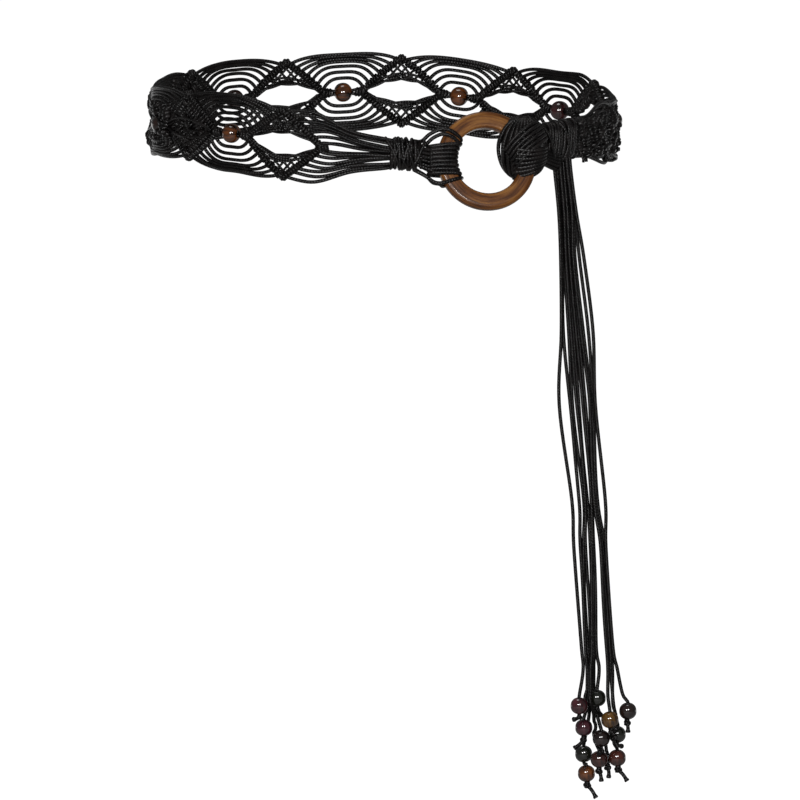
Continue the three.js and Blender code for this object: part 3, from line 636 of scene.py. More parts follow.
@dataclass
class NettedBand:
    """Nine hitched diamonds, each with an eye, and the fans of cords between them.

    A row of squeezes is a place, counted in diamonds from the first, the shares to which the band's
    lower and upper half are pushed together there, and how far it is moved out of the belt.
    """

    line: BeltLine
    cord: float = 1.1
    fan_bulge: float = 3.6
    fan_bow: float = 3.6
    bowed: tuple = (1, 7)
    bar_hitches: int = 8
    bar_loop: float = 1.66
    hitch_cord: float = 0.95
    net_cord: float = 0.78
    net_reach: float = 22
    eye_half_width: float = 22.3
    eye_half_height: float = 6.5
    turning: int = 2
    turning_width: float = 0.37
    billow: float = 2.4
    lobe_edge: float = 23
    lobe_fade: float = 9
    sink: float = 1.2
    squeezes: tuple = (
        (0.6, 1, 1, 0), (1, 0.9, 1, 0), (1.5, 0.78, 0.97, -1.6),
        (2, 0.9, 0.86, -2.2), (2.45, 0.97, 0.85, -1.4), (3, 1, 0.95, 0),
        (3.4, 1, 1, 0), (5, 1, 1, 0), (5.5, 0.93, 1, 0), (6, 1, 1, 0),
        (6.8, 1, 1, 0), (7, 1, 0.92, 0), (7.25, 1, 0.7, -1),
        (7.5, 0.95, 0.54, -2.4), (8, 0.93, 0.72, -3), (8.5, 0.92, 0.86, -2),
        (9, 1, 0.95, 0),
    )
    bunched: tuple = (1, 2, 3, 8)
    half_bunched: int = 7
    bunched_scales: tuple = (0.78, 0.56, 0.34, 0.14)
    bunched_fans: tuple = ((1.27, 1.75, 15, 17), (2.25, 2.9, 18, 22))
    bunched_bead: float = 1.5
    neck_bunch: tuple = (26, 19.5, 12.5)
    row_spacing: float = 4.6
    slack_cords: int = 16
    slack_cord_radius: float = 0.98
    highest: float = 20.5
    starts: tuple = (0.07, 0.215, 0.355, 0.5, 0.645, 0.785, 0.93)
    middles: tuple = (0.35, 0.52, 0.67, 0.785, 0.86, 0.92, 0.97)
    first_start: float = 0.03
    gathered: tuple = (0.5, 1.2, 1.9, 2.8, 3.7, 6.6, 7.9, 9.0)
    bundled: tuple = (0.7, 2.1, 3.6, 5.1, 6.6, 8.1, 9.6, 11.0)
    inside_sleeve: float = 4
    bead_cord: tuple = ((23.4, 0.8), (25.4, 1.5), (27.6, 1.35), (30.2, 0.9), (35.45, 0.85))
    seed: int = 7
    loose_end: tuple = ((640, -18.5, 1.5), (636.5, -20, 3), (633, -20.6, 4.6), (630, -19.8, 6))

    def __post_init__(self) -> None:
        """Start the meshes."""
        self.random = np.random.default_rng(self.seed)
        self.fans = CordMesh(8)
        self.hitches = CordMesh(7)
        self.nets = CordMesh(7)
        self.bunches = CordMesh(6)

    def place(self, s: Array, height: Array, outward: Array) -> Array:
        """Return places in the band, pushed together and billowed out where it turns at its ends.

        Args:
            s: Lengths along the belt.
            height: Heights over its middle line.
            outward: Distances out of it.

        Returns:
            One row for each place.
        """
        s, height, outward = matched(s, height, outward)
        step = (s - self.line.first) / self.line.pitch
        places, *columns = np.array(self.squeezes).T
        under, over, moved = (np.interp(step, places, column) for column in columns)
        height = height * np.where(height > 0, over, under)
        near = np.exp(-(((step - self.turning) / self.turning_width) ** 2))
        far = np.abs(height)
        rise = np.clip(far / self.lobe_fade, 0, 1)
        lobe = rise * np.clip((self.lobe_edge - far) / self.lobe_fade, 0, 1)
        outward = outward + moved
        return self.line.place(s, height, outward + near * (self.billow * lobe - self.sink))

    def lay(self, mesh: CordMesh, places: tuple, step: float, radius: float) -> None:
        """Lay a smooth cord through places: lengths, heights and distances out of the belt."""
        mesh.add(smooth(self.place(*places), step), radius)

    def hitch(
        self, mesh: CordMesh, middle: tuple, run: Array, size: tuple, cord: float, steps: int
    ) -> None:
        """Add one closed turn of a hitch.

        Args:
            mesh: The mesh that takes it.
            middle: Length, height and distance out of the belt for its middle.
            run: The way of the cord that it goes round, in length and height.
            size: Its half width, its half depth, and how far it slants along that way.
            cord: The radius of its cord.
            steps: How many points there are round it.
        """
        wide, deep, slant = size
        run = np.array(run) / np.linalg.norm(run)
        across = np.array([-run[1], run[0]])
        angle = circle(steps)
        s, v = (middle[:2] + np.outer(np.cos(angle), wide * across + slant * run)).T
        mesh.add(self.place(s, v, middle[2] + deep * np.sin(angle)), cord, closed=True)

    def hitched_row(self, rows: Array, count: int, loop: float, cord: float) -> None:
        """Add a row of double hitches along a short line of a bunched part of the band.

        Args:
            rows: Length, height and distance out of the belt for points of the line.
            count: How many pairs of hitches there are.
            loop: The radius of a hitch.
            cord: The radius of its cord.
        """
        self.bunches.add(self.place(*rows.T), self.cord)
        for share in (np.arange(2 * count) + 0.5) / (2 * count) * (len(rows) - 1):
            k = min(int(share), len(rows) - 2)
            run = rows[k + 1] - rows[k]
            size = loop * (1 + self.random.normal(0, 0.24))
            size = (size, size, 0.4 + self.random.normal(0, 0.3))
            self.hitch(self.bunches, rows[k] + run * (share - k), run[:2], size, cord, 10)

    def slack_cord(self, centre: tuple, reach: float, lean: float, bow: float) -> None:
        """Add one slack cord that lies across a bunched part of the band.

        Args:
            centre: Length, height and distance out of the belt for its middle.
            reach: Half its length.
            lean: Its slope, in radians.
            bow: How far its middle is to the side of its ends.
        """
        t = np.linspace(-1, 1, 6)
        aside = bow * (1 - t * t)
        s = centre[0] + reach * t * math.cos(lean) - aside * math.sin(lean)
        v = centre[1] + reach * t * math.sin(lean) + aside * math.cos(lean)
        w = centre[2] + self.random.normal(0, 0.5, len(t))
        places = (s, np.clip(v, -self.highest, self.highest), w)
        self.lay(self.bunches, places, 1.8, self.slack_cord_radius)

    def bunch(self, centre: float, scales: tuple, halves: tuple) -> None:
        """Fill a diamond whose net is pushed together.

        Args:
            centre: The diamond's place along the belt.
            scales: The sizes of the rows of hitches inside it, as shares of its own.
            halves: 1 for its upper half and -1 for its lower one.
        """
        t = np.linspace(0, 1, 5)
        for scale in scales:
            count = max(2, round(self.bar_hitches * scale * 0.8))
            for side in (-1, 1):
                for up in halves:
                    u, v = (self.bar(side, up, t) * scale).T
                    out = self.random.normal(0, 0.7) + 0.5 * np.sin(np.pi * t)
                    rows = np.stack([centre + u, v + up * 0.8, out], -1)
                    self.hitched_row(rows, count, 1.7, 1.1)
        if len(halves) < 2:
            return
        u = np.linspace(-self.eye_half_width, self.eye_half_width, 20)
        for up in halves:
            self.lay(self.bunches, (centre + u, self.eye_edge(up, u, -1.2), 3.0), 1.6, 0.9)
        half = 17
        for _ in range(self.slack_cords):
            u = self.random.uniform(-half, half)
            v = self.random.uniform(-1, 1) * (half - 0.7 * abs(u))
            lean = self.random.uniform(-1.1, 1.1)
            out = self.random.uniform(-2.0, 1.6)
            bow = self.random.uniform(-2.5, 2.5)
            self.slack_cord((centre + u, v, out), self.random.uniform(5, 9), lean, bow)

    def cover_bead(self, middle: float) -> None:
        """Lay slack cords over the bead of a fan whose cords are pushed together.

        Args:
            middle: The bead's place along the belt.
        """
        for _ in range(self.slack_cords):
            u = self.random.uniform(-13, 3)
            v = self.random.uniform(-11, 11)
            over = 5 * math.exp(-(((u + 3) / 8) ** 2) - (v / 9) ** 2)
            out = over + self.random.uniform(0, 0.8)
            lean = self.random.uniform(-0.8, 0.8)
            bow = self.random.uniform(-2.5, 2.5)
            self.slack_cord((middle + u, v, out), self.random.uniform(6, 10), lean, bow)

    def bunched_fan(self, start: float, end: float, half_start: float, half_end: float) -> None:
        """Fill a fan whose cords are pushed together and knotted.

        Args:
            start: Where it starts along the belt.
            end: Where it ends.
            half_start: Its half height there.
            half_end: Its half height at the end.
        """
        t = np.linspace(-1, 1, 7)
        count = round(abs(end - start) / self.row_spacing)
        for k in range(count):
            share = (k + 0.5) / count
            s = start + (end - start) * share
            half = half_start + (half_end - half_start) * share
            lean = self.random.uniform(-3, 3)
            sway = self.random.normal(0, 1.1, len(t))
            out = 0.9 + self.random.normal(0, 1.4, len(t))
            rows = np.stack([s + lean * t + sway, t * (half - 1.4), out], -1)
            self.hitched_row(rows, round(half / 2.3), 2.1, 1.35)
            for _ in range(3):
                place = (s + self.random.uniform(-2, 2), self.random.uniform(-0.8, 0.8) * half, 2.2)
                lean = self.random.uniform(-1.4, 1.4)
                self.slack_cord(place, self.random.uniform(4, 7), lean, self.random.uniform(-2, 2))

    def bar(self, side: int, up: int, t: Array) -> Array:
        """Return places on a bar, from the side of its diamond to the top or bottom.

        Args:
            side: 1 for the side of growing length, -1 for the other.
            up: 1 for an upper bar, -1 for a lower one.
            t: Shares of the way.

        Returns:
            Rows of length and height from the diamond's middle.
        """
        t = np.asarray(t, float)
        bow = 0.7 * np.sin(np.pi * t)
        u = self.line.motif_half * (1 - t) + bow * 0.64
        v = self.line.half_height * t + bow * 0.77
        return np.stack([side * u, up * v], -1)

    def hitched_bar(self, centre: float, side: int, up: int) -> None:
        """Add a bar: a cord with a row of double hitches round it.

        Args:
            centre: The diamond's place along the belt.
            side: 1 for the side of growing length, -1 for the other.
            up: 1 for an upper bar, -1 for a lower one.
        """
        u, v = self.bar(side, up, np.linspace(0, 1, 12)).T
        self.hitches.add(self.place(centre + u, v, 0), 1.3)
        for k in range(self.bar_hitches):
            for part in (-0.25, 0.25):
                t = (k + 0.5 + part) / self.bar_hitches
                before, here, after = self.bar(side, up, [t - 0.01, t, t + 0.01])
                slant = 0.35 + self.random.normal(0, 0.14)
                wide = self.bar_loop * (1 + self.random.normal(0, 0.07))
                deep = self.bar_loop * (1.06 + self.random.normal(0, 0.07))
                middle = (centre + here[0], here[1], 0)
                size = (wide, deep, slant)
                self.hitch(self.hitches, middle, after - before, size, self.hitch_cord, 11)

    def eye_edge(self, up: int, u: Array, thick: float) -> Array:
        """Return heights on an eye's border, some way outside its line, at distances u along it."""
        share = 1 - (np.asarray(u) / self.eye_half_width) ** 2
        return up * (0.7 + (self.eye_half_height + thick) * np.clip(share, 0, 1))

    def eye_border(self, centre: float, up: int) -> None:
        """Add the twisted cords along one border of an eye.

        Args:
            centre: The diamond's place along the belt.
            up: 1 for the upper border, -1 for the lower one.
        """
        u = np.linspace(-self.eye_half_width, self.eye_half_width, 34)
        fade = np.clip(1.15 - (u / self.eye_half_width) ** 2, 0, 1)
        start = self.random.uniform(0, TURN)
        turns = self.random.uniform(2.4, 3.4)
        for half in (0, math.pi):
            phase = start + half + turns * TURN * (u + 30) / 60
            v = self.eye_edge(up, u, 0.2) + up * 0.72 * np.cos(phase)
            self.lay(self.nets, (centre + u, v, 0.95 * np.sin(phase)), 1.4, 0.82)
        for thick, cut in ((2.185, 1), (3.515, 4)):
            shift = self.random.uniform(-3, 3)
            v = self.eye_edge(up, u - shift, thick)
            w = self.random.uniform(-0.7, 0.7) * fade
            kept = slice(cut, -cut)
            self.lay(self.nets, (centre + u[kept], v[kept], w[kept]), 1.6, 0.8)

    def net_cords(self, centre: float, up: int) -> None:
        """Add the crossing cords between a pair of bars and the border of the eye.

        Args:
            centre: The diamond's place along the belt.
            up: 1 for the cords over the eye, -1 for those under it.
        """
        share = np.linspace(0, 1, 30)
        for side in (-1, 1):
            for k in range(1, self.bar_hitches):
                t = (k + 0.35 + self.random.uniform(-0.12, 0.12)) / self.bar_hitches
                start = self.bar(side, 1, t)
                lean = 0.86 + self.random.normal(0, 0.05)
                u = start[0] - side * share * self.net_reach * 0.62
                v = start[1] - share * self.net_reach * 0.78 * lean
                inside = v > self.eye_edge(1, u, 0.8)
                stop = max(3, len(share) if inside.all() else int(np.argmin(inside)))
                bow = side * np.sin(np.pi * np.linspace(0, 1, stop))
                w = 0.62 * bow * (1 if k % 2 else -1)
                u = u[:stop] + self.random.normal(0, 0.25) * bow
                kept = slice(None, None, max(1, stop // 6))
                places = (centre + u[kept], up * v[:stop][kept], w[kept])
                self.lay(self.nets, places, 1.6, self.net_cord)

    def tips(self, centre: float) -> None:
        """Add the small knots at the top and bottom of a diamond, and at its sides.

        Args:
            centre: The diamond's place along the belt.
        """
        level = (1, 0)
        for u, up, lift in ((0, 1, 0.4), (0, -1, 0.4), (-2.6, 1, -0.9), (2.4, -1, -0.8)):
            v = up * (self.line.half_height + lift)
            for shift in (-0.8, 0.9):
                size = (1.25, 1.6, 0.5 * self.random.uniform(-0.7, 0.7))
                self.hitch(self.hitches, (centre + u + shift, v, 0), level, size, 0.9, 11)
        for side in (-1, 1):
            for shift in (-1.1, 0.9, 2.7):
                s = centre + side * (self.line.motif_half + 0.4 + shift)
                self.hitch(self.hitches, (s, 0, 0), level, (2.3 - 0.15 * shift, 1.9, 0.5), 1.05, 12)

    def fan_side(self, start: float, middle: float, reach: float) -> Array:
        """Return the way of a fan cord from its bar to the middle of the fan.

        Args:
            start: Where it leaves the bar, as a share of the diamond's half height.
            middle: Where it is in the middle of the fan, as a share of the fan's own.
            reach: The distance from the diamond's middle to the fan's.

        Returns:
            Rows of length and height from the diamond's middle.
        """
        v0 = start * self.line.half_height
        v1 = middle * (self.line.half_height + self.fan_bulge)
        u0 = self.line.motif_half * (1 - start) + 0.3
        t = np.linspace(0, 1, 9) ** 1.3
        rise = 1 - (1 - t) ** 3.4
        return np.stack([u0 + (reach - u0) * t, v0 + (v1 - v0) * rise], -1)

    def joined(self, first: Array, second: Array) -> Array:
        """Return a way from one diamond to the next, the second part being mirrored."""
        return np.vstack([first, (second[::-1] * [-1, 1] + [self.line.pitch, 0])[1:]])

    def fan(self, centre: float, bow: float) -> None:
        """Add the cords of a full fan.

        Args:
            centre: The place of the diamond before it.
            bow: How far its cords stand out of the belt in its middle.
        """
        reach = self.line.pitch / 2
        for up in (-1, 1):
            for start, middle in zip(self.starts, self.middles):
                drift = self.random.normal(0, 0.012)
                sides = []
                for _ in range(2):
                    nudge = self.random.normal(0, 0.007)
                    sides.append(self.fan_side(start + nudge, middle + drift, reach))
                u, v = self.joined(*sides).T
                wave = np.pi * np.linspace(0, 1, len(u))
                w = (bow + self.random.normal(0, 0.4)) * np.sin(wave)
                w = w + self.random.normal(0, 0.25) * np.sin(3 * wave)
                sway = self.random.normal(0, 0.16) * np.sin(3 * wave)
                self.lay(self.fans, (centre + u, up * (v + sway), w), 2.0, self.cord)
            half = np.array(self.bead_cord)
            u, v = self.joined(half, half).T
            w = up * 0.3 * np.sin(np.linspace(0, 3 * np.pi, len(u)))
            self.lay(self.fans, (centre + u, up * v, w), 1.6, 1.0)

    def end_fan(self, centre: float, side: int, fan: float, ends: tuple) -> None:
        """Add the cords that close up from an end diamond into a sleeve.

        Args:
            centre: The diamond's place along the belt.
            side: 1 for the side of growing length, -1 for the other.
            fan: How long the fan is.
            ends: How far from the middle each cord enters the sleeve, from the inmost on.
        """
        reach = self.line.motif_half + fan
        for up in (-1, 1):
            for k, (start, end) in enumerate(zip((self.first_start, *self.starts), ends)):
                v0 = start * self.line.half_height
                u0 = self.line.motif_half * (1 - start)
                swell = v0 + 1.6 + self.random.uniform(-0.4, 1.2)
                near = (swell + 2.2 * end) / 3.2 + self.random.uniform(-0.5, 0.5)
                way = [
                    (u0, v0),
                    (u0 + 3.2, v0 + 1.5),
                    (u0 + (reach - u0) * 0.3, swell),
                    (u0 + (reach - u0) * 0.64, near),
                    (reach - 2, end),
                    (reach + self.inside_sleeve, end * 0.85),
                ]
                w = self.random.normal(0, 0.6, len(way)) + (1.1 if k % 2 else -1.1)
                w[0] = 0
                u, v = np.array(way).T
                self.lay(self.fans, (centre + side * u, up * v, w), 2.0, self.cord)

    def diamond(self, number: int) -> None:
        """Add a diamond, with the fan that follows it.

        Args:
            number: The diamond's number, from 0 beside the gathering knot.
        """
        centre = self.line.first + number * self.line.pitch
        for up in (-1, 1):
            for side in (-1, 1):
                self.hitched_bar(centre, side, up)
            self.eye_border(centre, up)
            self.net_cords(centre, up)
        self.tips(centre)
        if number in self.bunched:
            self.bunch(centre, self.bunched_scales, (-1, 1))
        elif number == self.half_bunched:
            self.bunch(centre, self.bunched_scales[:2], (1,))
        if number < self.line.motifs - 1:
            self.fan(centre, self.fan_bow if number in self.bowed else 0.0)

    def make(self, finish: Material, bunched: Material) -> None:
        """Build the band.

        Args:
            finish: The cord's material.
            bunched: The material of the cords that are bunched up.
        """
        line = self.line
        for number in range(line.motifs):
            self.diamond(number)
        self.end_fan(line.first, -1, line.gather_fan, self.gathered)
        self.end_fan(line.last, 1, line.neck_fan, self.bundled)
        self.lay(self.nets, np.array(self.loose_end).T, 1.0, 1.0)
        before, low, high = self.neck_bunch
        edge = line.neck_s - line.neck_length / 2 - line.seat
        self.bunched_fan(line.last - before, edge, low, high)
        for start, end, low, high in self.bunched_fans:
            places = (line.first + start * line.pitch, line.first + end * line.pitch)
            self.bunched_fan(*places, low, high)
        self.cover_bead(line.first + self.bunched_bead * line.pitch)
        self.bunches.build("bunched_cords", bunched, "woven_band")
        self.fans.build("fan_cords", finish, "woven_band")
        self.hitches.build("hitched_bars", finish, "woven_band")
        self.nets.build("net_cords", finish, "woven_band")


# The ring and what is tied to it


@dataclass
class WoodRing:
    """The wood ring at the front of the belt."""

    line: BeltLine
    outer: float = 30
    inner: float = 20
    thickness: float = 7.5
    round_outside: float = 3.0
    round_inside: float = 1.6
    outside_depth: float = 0.82
    lean: float = 20
    turn: float = 13
    sides: int = 144

    def __post_init__(self) -> None:
        """Set up the ring's own directions."""
        lean, turn = math.radians(self.lean), math.radians(self.turn)
        flat = math.cos(lean)
        self.face = np.array([math.sin(turn) * flat, -math.cos(turn) * flat, math.sin(lean)])
        self.sideways = np.array([math.cos(turn), math.sin(turn), 0])
        self.up = np.cross(self.face, self.sideways)
        self.centre = self.line.place(self.line.ring_s, 0, 0)

    def flat_place(self, across: Array, height: Array, outward: Array) -> Array:
        """Return places by their distances from the ring's centre, across, up and out of its face."""
        across, height, outward = (part[..., None] for part in matched(across, height, outward))
        return self.centre + (self.sideways * across + self.up * height + self.face * outward)

    def place(self, angle: Array, radius: Array, outward: Array) -> Array:
        """Return places by their angle from the right, their radius and distance out of the face."""
        return self.flat_place(radius * np.cos(angle), radius * np.sin(angle), outward)

    def profile(self) -> Array:
        """Lay out the section: flat faces, a wide round outside and a narrow round inside.

        Returns:
            Rows of radius and height.
        """
        rows = []
        outside = (self.outer - self.round_outside, self.round_outside, self.outside_depth)
        inside = (self.inner + self.round_inside, self.round_inside, 1.0)
        for quarter, (radius, bend, flat) in enumerate((outside, inside, inside, outside)):
            start = 90 * quarter
            centre = (1 if quarter < 2 else -1) * (self.thickness / 2 - bend * flat)
            for angle in np.radians(np.linspace(start, start + 90, 9)):
                rows.append((radius + bend * np.cos(angle), centre + bend * flat * np.sin(angle)))
        return np.array(rows)

    def make(self, finish: Material) -> None:
        """Build the ring.

        Args:
            finish: Its material.
        """
        turn = np.stack([self.sideways, self.up, self.face], axis=1)
        mesh = turned("ring", self.profile(), self.sides, self.centre, turn)
        finished("ring", mesh, finish, "wood_ring")


@dataclass
class RingHitches:
    """Wraps round the left of the ring, with the cords that run on into the gathering knot.

    A loop is a cord that stands off the ring: how far all of it is moved towards the ring's middle,
    and its way in distances across, up and out of the ring's face.
    """

    ring: WoodRing
    wraps: int = 8
    middle: float = 1.4
    half_height: float = 8.6
    standing: float = 5.2
    cord: float = 1.3
    side_cord: float = 1.05
    knot_edge: float = 8.6
    seed: int = 11
    upper_loops: tuple = (
        (
            0,
            ((-39, 13.2, 1), (-33.9, 17, 3), (-26.6, 19.4, 5.2)),
            ((-20.4, 17.6, 5.2), (-15.2, 13.6, 2.5), (-14.6, 12.6, -3)),
        ),
        (
            2.3,
            ((-38, 12.6, 2), (-32.4, 16.6, 4), (-26.6, 18.6, 5.2)),
            ((-21.4, 17, 5.2), (-16.6, 13.6, 2.5), (-15.8, 12.6, -3)),
        ),
    )
    lower_loops: tuple = (
        (
            0,
            ((-38, -8.2, 1), (-34, -12.2, 3), (-30, -13.5, 5)),
            ((-24.4, -12.2, 5.2), (-18.2, -10.6, 4.2), (-15.6, -9.6, -1)),
        ),
        (
            0.6,
            ((-37, -8.2, -2), (-33.6, -12.4, -1), (-30.2, -14, 2)),
            ((-27, -14.4, -3), (-22, -12, -5), (-16, -10, -4)),
        ),
    )

    def __post_init__(self) -> None:
        """Start the mesh."""
        self.random = np.random.default_rng(self.seed)
        self.mesh = CordMesh(9)
        self.edge = self.ring.line.gather_s - self.ring.line.gather_length / 2

    def wrap(self, height: float, tilt: float, grow: float) -> None:
        """Add one level wrap round the ring's section.

        Args:
            height: Where it is, over the ring's middle.
            tilt: How far its outside is over its middle.
            grow: How far it stands off the wood.
        """
        ring = self.ring
        around = self.cord * 0.9 + grow
        half_wide = (ring.outer - ring.inner) / 2 + around
        half_deep = ring.thickness / 2 + around
        t = circle(26)
        c, q = np.cos(t), np.sin(t)
        wide = np.sign(c) * np.abs(c) ** 0.55 * half_wide + self.standing * np.clip(c, 0, 1) ** 3
        deep = np.sign(q) * np.abs(q) ** 0.62 * half_deep
        radius = (ring.outer + ring.inner) / 2 + wide
        angle = math.pi - np.arcsin(np.clip((height + tilt * c) / radius, -0.97, 0.97))
        self.mesh.add(ring.place(angle, radius, deep), self.cord, closed=True)

    def side_cords(self, up: int) -> None:
        """Add the cords that run beside the wraps, over or under the ring's middle.

        Args:
            up: 1 for over it, -1 for under it.
        """
        line, ring = self.ring.line, self.ring
        radius, end = ring.outer + 0.6, 27
        for k in range(3):
            low, high, bow = 1.2 + 1.9 * k, 1.4 + 2.6 * k, 0.1 * k
            for layer in (-1, 1):
                start = line.place(self.edge + 3, up * low, layer * 2.0)
                angle = math.pi - up * math.asin(high / radius)
                to = ring.place(angle, radius, layer * 2.6)
                inner = math.pi - up * math.asin(high / end)
                last = ring.place(inner, end, layer * 3.9)
                rise = up * (bow + self.random.normal(0, 0.2))
                middle = (start + to) / 2 + [-0.6, 0, rise]
                self.mesh.add(smooth([start, middle, to, last], 1.4), self.side_cord)

    def loops(self, up: int, loops: tuple) -> None:
        """Add the cords that stand off the ring, over or under its middle.

        Args:
            up: 1 for over it, -1 for under it.
            loops: How far each is moved towards the middle, and its way in two parts.
        """
        for lower, outside, inside in loops:
            start = self.ring.line.place(self.edge + 4, up * (self.knot_edge - lower), 1.0)
            way = np.array([*outside, *inside]) - [0, up * lower, 0]
            places = self.ring.flat_place(*way.T)
            self.mesh.add(smooth([start, *places], 1.3), self.cord - 0.1)

    def make(self, finish: Material) -> None:
        """Build the wraps and the cords beside them.

        Args:
            finish: The cord's material.
        """
        for share in np.linspace(-1, 1, self.wraps):
            tilt = self.random.normal(0, 0.25) - 0.5 * share
            height = self.middle + share * self.half_height
            self.wrap(height, tilt, self.random.uniform(0, 0.25))
        for up, loops in ((-1, self.lower_loops), (1, self.upper_loops)):
            self.side_cords(up)
            self.loops(up, loops)
        self.mesh.build("ring_wraps", finish, "ring_hitches")


@dataclass
class Sleeve:
    """Turns of cord round the gathered cords of the belt."""

    line: BeltLine
    name: str
    node: str
    centre: float
    length: float
    height: float
    depth: float
    turns: int
    slant: float
    seed: int
    crossings: int
    rough: float
    cord: float = 1.12
    crossing_cord: float = 0.95

    def ellipse(self, s: float, grow: float, slant: float, bow: float) -> Array:
        """Return one turn round the gathered cords.

        Args:
            s: Where it is along the belt.
            grow: How far it stands off the others.
            slant: How far its top runs ahead of its bottom.
            bow: How far its front runs ahead of its back.

        Returns:
            Points round the turn.
        """
        t = circle(30)
        c, q = np.cos(t), np.sin(t)
        height = np.sign(c) * np.abs(c) ** 0.8 * (self.height / 2 - 1 + grow)
        out = np.sign(q) * np.abs(q) ** 0.8 * (self.depth / 2 - 1 + grow)
        return self.line.place(s + slant * c + bow * q**2 * np.sign(q), height, out)

    def make(self, finish: Material) -> None:
        """Build the sleeve, with the gathered cords inside it.

        Args:
            finish: The cord's material.
        """
        random = np.random.default_rng(self.seed)
        mesh = CordMesh(9)
        start = self.centre - self.length / 2 + 1
        reach = self.length - 2
        for k in range(self.turns):
            slant = self.slant + random.normal(0, self.rough)
            sunk = 1.0 if k in (0, self.turns - 1) else 0
            grow = random.uniform(-self.rough, self.rough) - sunk
            s = start + k * reach / (self.turns - 1) + random.normal(0, 0.15)
            mesh.add(self.ellipse(s, grow, slant, random.normal(0, 0.4)), self.cord, closed=True)
        for k in range(self.crossings):
            lean = random.uniform(2.4, 5.2) * (1 if k % 2 else -1)
            s = start + (k + 0.5) / self.crossings * reach
            bow = random.uniform(-2, 2)
            turn = self.ellipse(s, random.uniform(0.5, 1.1), lean, bow)
            mesh.add(turn, self.crossing_cord, closed=True)
        span = self.line.place(np.linspace(start + 1, start + reach - 1, 8), 0, 0)
        for up in (-1, 0, 1):
            rise = up * (self.height / 2 - self.depth / 2 - 0.4)
            mesh.add(span + [0, 0, rise], self.depth / 2 - 2.2)
        mesh.build(self.name, finish, self.node)


@dataclass
class ClosingKnot:
    """The round knot that ties the right end of the belt to the ring."""

    ring: WoodRing
    from_ring: float = 21.4
    rise: float = 7.0
    out: float = 4.5
    width: float = 31
    depth: float = 26
    height: float = 39.6
    cord: float = 1.15
    upright: int = 9
    slanting: int = 6
    level: int = 8
    tied: int = 9
    seed: int = 23

    def __post_init__(self) -> None:
        """Start the mesh."""
        self.random = np.random.default_rng(self.seed)
        self.mesh = CordMesh(9)
        self.middle_s = self.ring.line.ring_s - self.from_ring
        self.centre = self.ring.line.place(self.middle_s, self.rise, self.out)

    def lay(self, x: Array, z: Array, layer: float, back: int) -> None:
        """Lay a cord on the knot's skin.

        Args:
            x: Shares of the half width, to the right of the knot's middle.
            z: Shares of the half height, over its middle.
            layer: How far it is outside the skin.
            back: -1 for the front of the knot, 1 for its back.
        """
        over = np.maximum(np.hypot(x, z) / 0.985, 1)
        x, z = x / over, z / over
        y = back * np.sqrt(np.clip(1 - x * x - z * z, 0, 1))
        half = np.array([self.width, self.depth, self.height]) / 2 - self.cord + layer
        self.mesh.add(smooth(self.centre + np.stack([x, y, z], -1) * half, 1.5), self.cord)

    def wind(self, back: int) -> None:
        """Wind the three layers of cord on one side of the knot.

        Args:
            back: -1 for the front of the knot, 1 for its back.
        """
        angle = np.linspace(-1.25, 1.4, 9)
        for k in range(self.upright):
            x = (-0.99 + 0.2 * k) * np.cos(angle) ** 0.8 + 0.12 * np.sin(angle)
            self.lay(x, np.sin(angle), self.random.uniform(-0.4, 0.3), back)
        for k in range(self.slanting):
            shift = -0.42 + 0.17 * k
            t = np.linspace(-0.55, 0.95, 8)
            x = -0.12 + 0.72 * t - 0.5 * shift + 0.25 * t * t
            z = 0.1 + 0.62 * t + 0.62 * shift - 0.1 * t * t
            self.lay(x, z, 1.1 + self.random.uniform(-0.2, 0.3), back)
        for k in range(self.level):
            t = np.linspace(-0.3 - 0.035 * k, 1.0, 8)
            z = 0.02 - 0.125 * k + 0.1 * (t - 0.4) ** 2 + 0.04 * k * (t - 0.3)
            self.lay(0.05 + 0.86 * t, z, 1.3 - 0.12 * k + self.random.uniform(-0.15, 0.2), back)

    def tie(self) -> None:
        """Add the cords that run from the knot into the neck of the tassel."""
        line = self.ring.line
        to = line.neck_s - line.length + line.neck_length / 2 - 2
        s = [self.middle_s, (self.middle_s + to) / 2, to]
        for layer in (-1, 1):
            for share in np.linspace(-1, 1, self.tied):
                height = share * np.array([6.0, 6.4, 8.0]) + self.rise * np.array([1, 0.6, 0])
                depth = layer * np.sqrt(1.15 - share**2) * np.array([3.6, 4.4, 4.4])
                self.mesh.add(smooth(line.place(s, height, depth + 1), 1.6), self.cord)

    def fill(self) -> None:
        """Fill the knot's inside with three thick bodies."""
        core = np.linspace(-1, 1, 9)
        shrink = np.sqrt(np.clip(1.0 - core**2, 0.03, 1))
        middle = self.centre + np.outer(core * (self.height / 2 - 2.4), [0, 0, 1])
        for shift, inset in ((0, 2), (-3.4, 3), (3.4, 3)):
            self.mesh.add(middle + [shift, 0, 0], shrink * (self.depth / 2 - inset))

    def make(self, finish: Material) -> None:
        """Build the knot.

        Args:
            finish: The cord's material.
        """
        for back in (-1, 1):
            self.wind(back)
        self.tie()
        self.fill()
        self.mesh.build("closing_knot_cords", finish, "closing_knot")


# The tassel


@dataclass(frozen=True)
class Strand:
    """One strand of the tassel.

    Its x and depth are shares of the tassel's spread and depth at the DROPS, its beads are numbers,
    and last is one more place under them. Its knot, its tail and the knot's lump are shares of a
    bead's radius.
    """

    x: tuple
    depth: tuple
    beads: tuple
    knot: tuple
    tail: tuple
    lump: float
    last: tuple = ()


@dataclass(frozen=True)
class TasselBead:
    """One bead of the tassel, by its shares of the tassel's sizes."""

    x: float
    drop: float
    depth: float
    tint: BeadTint


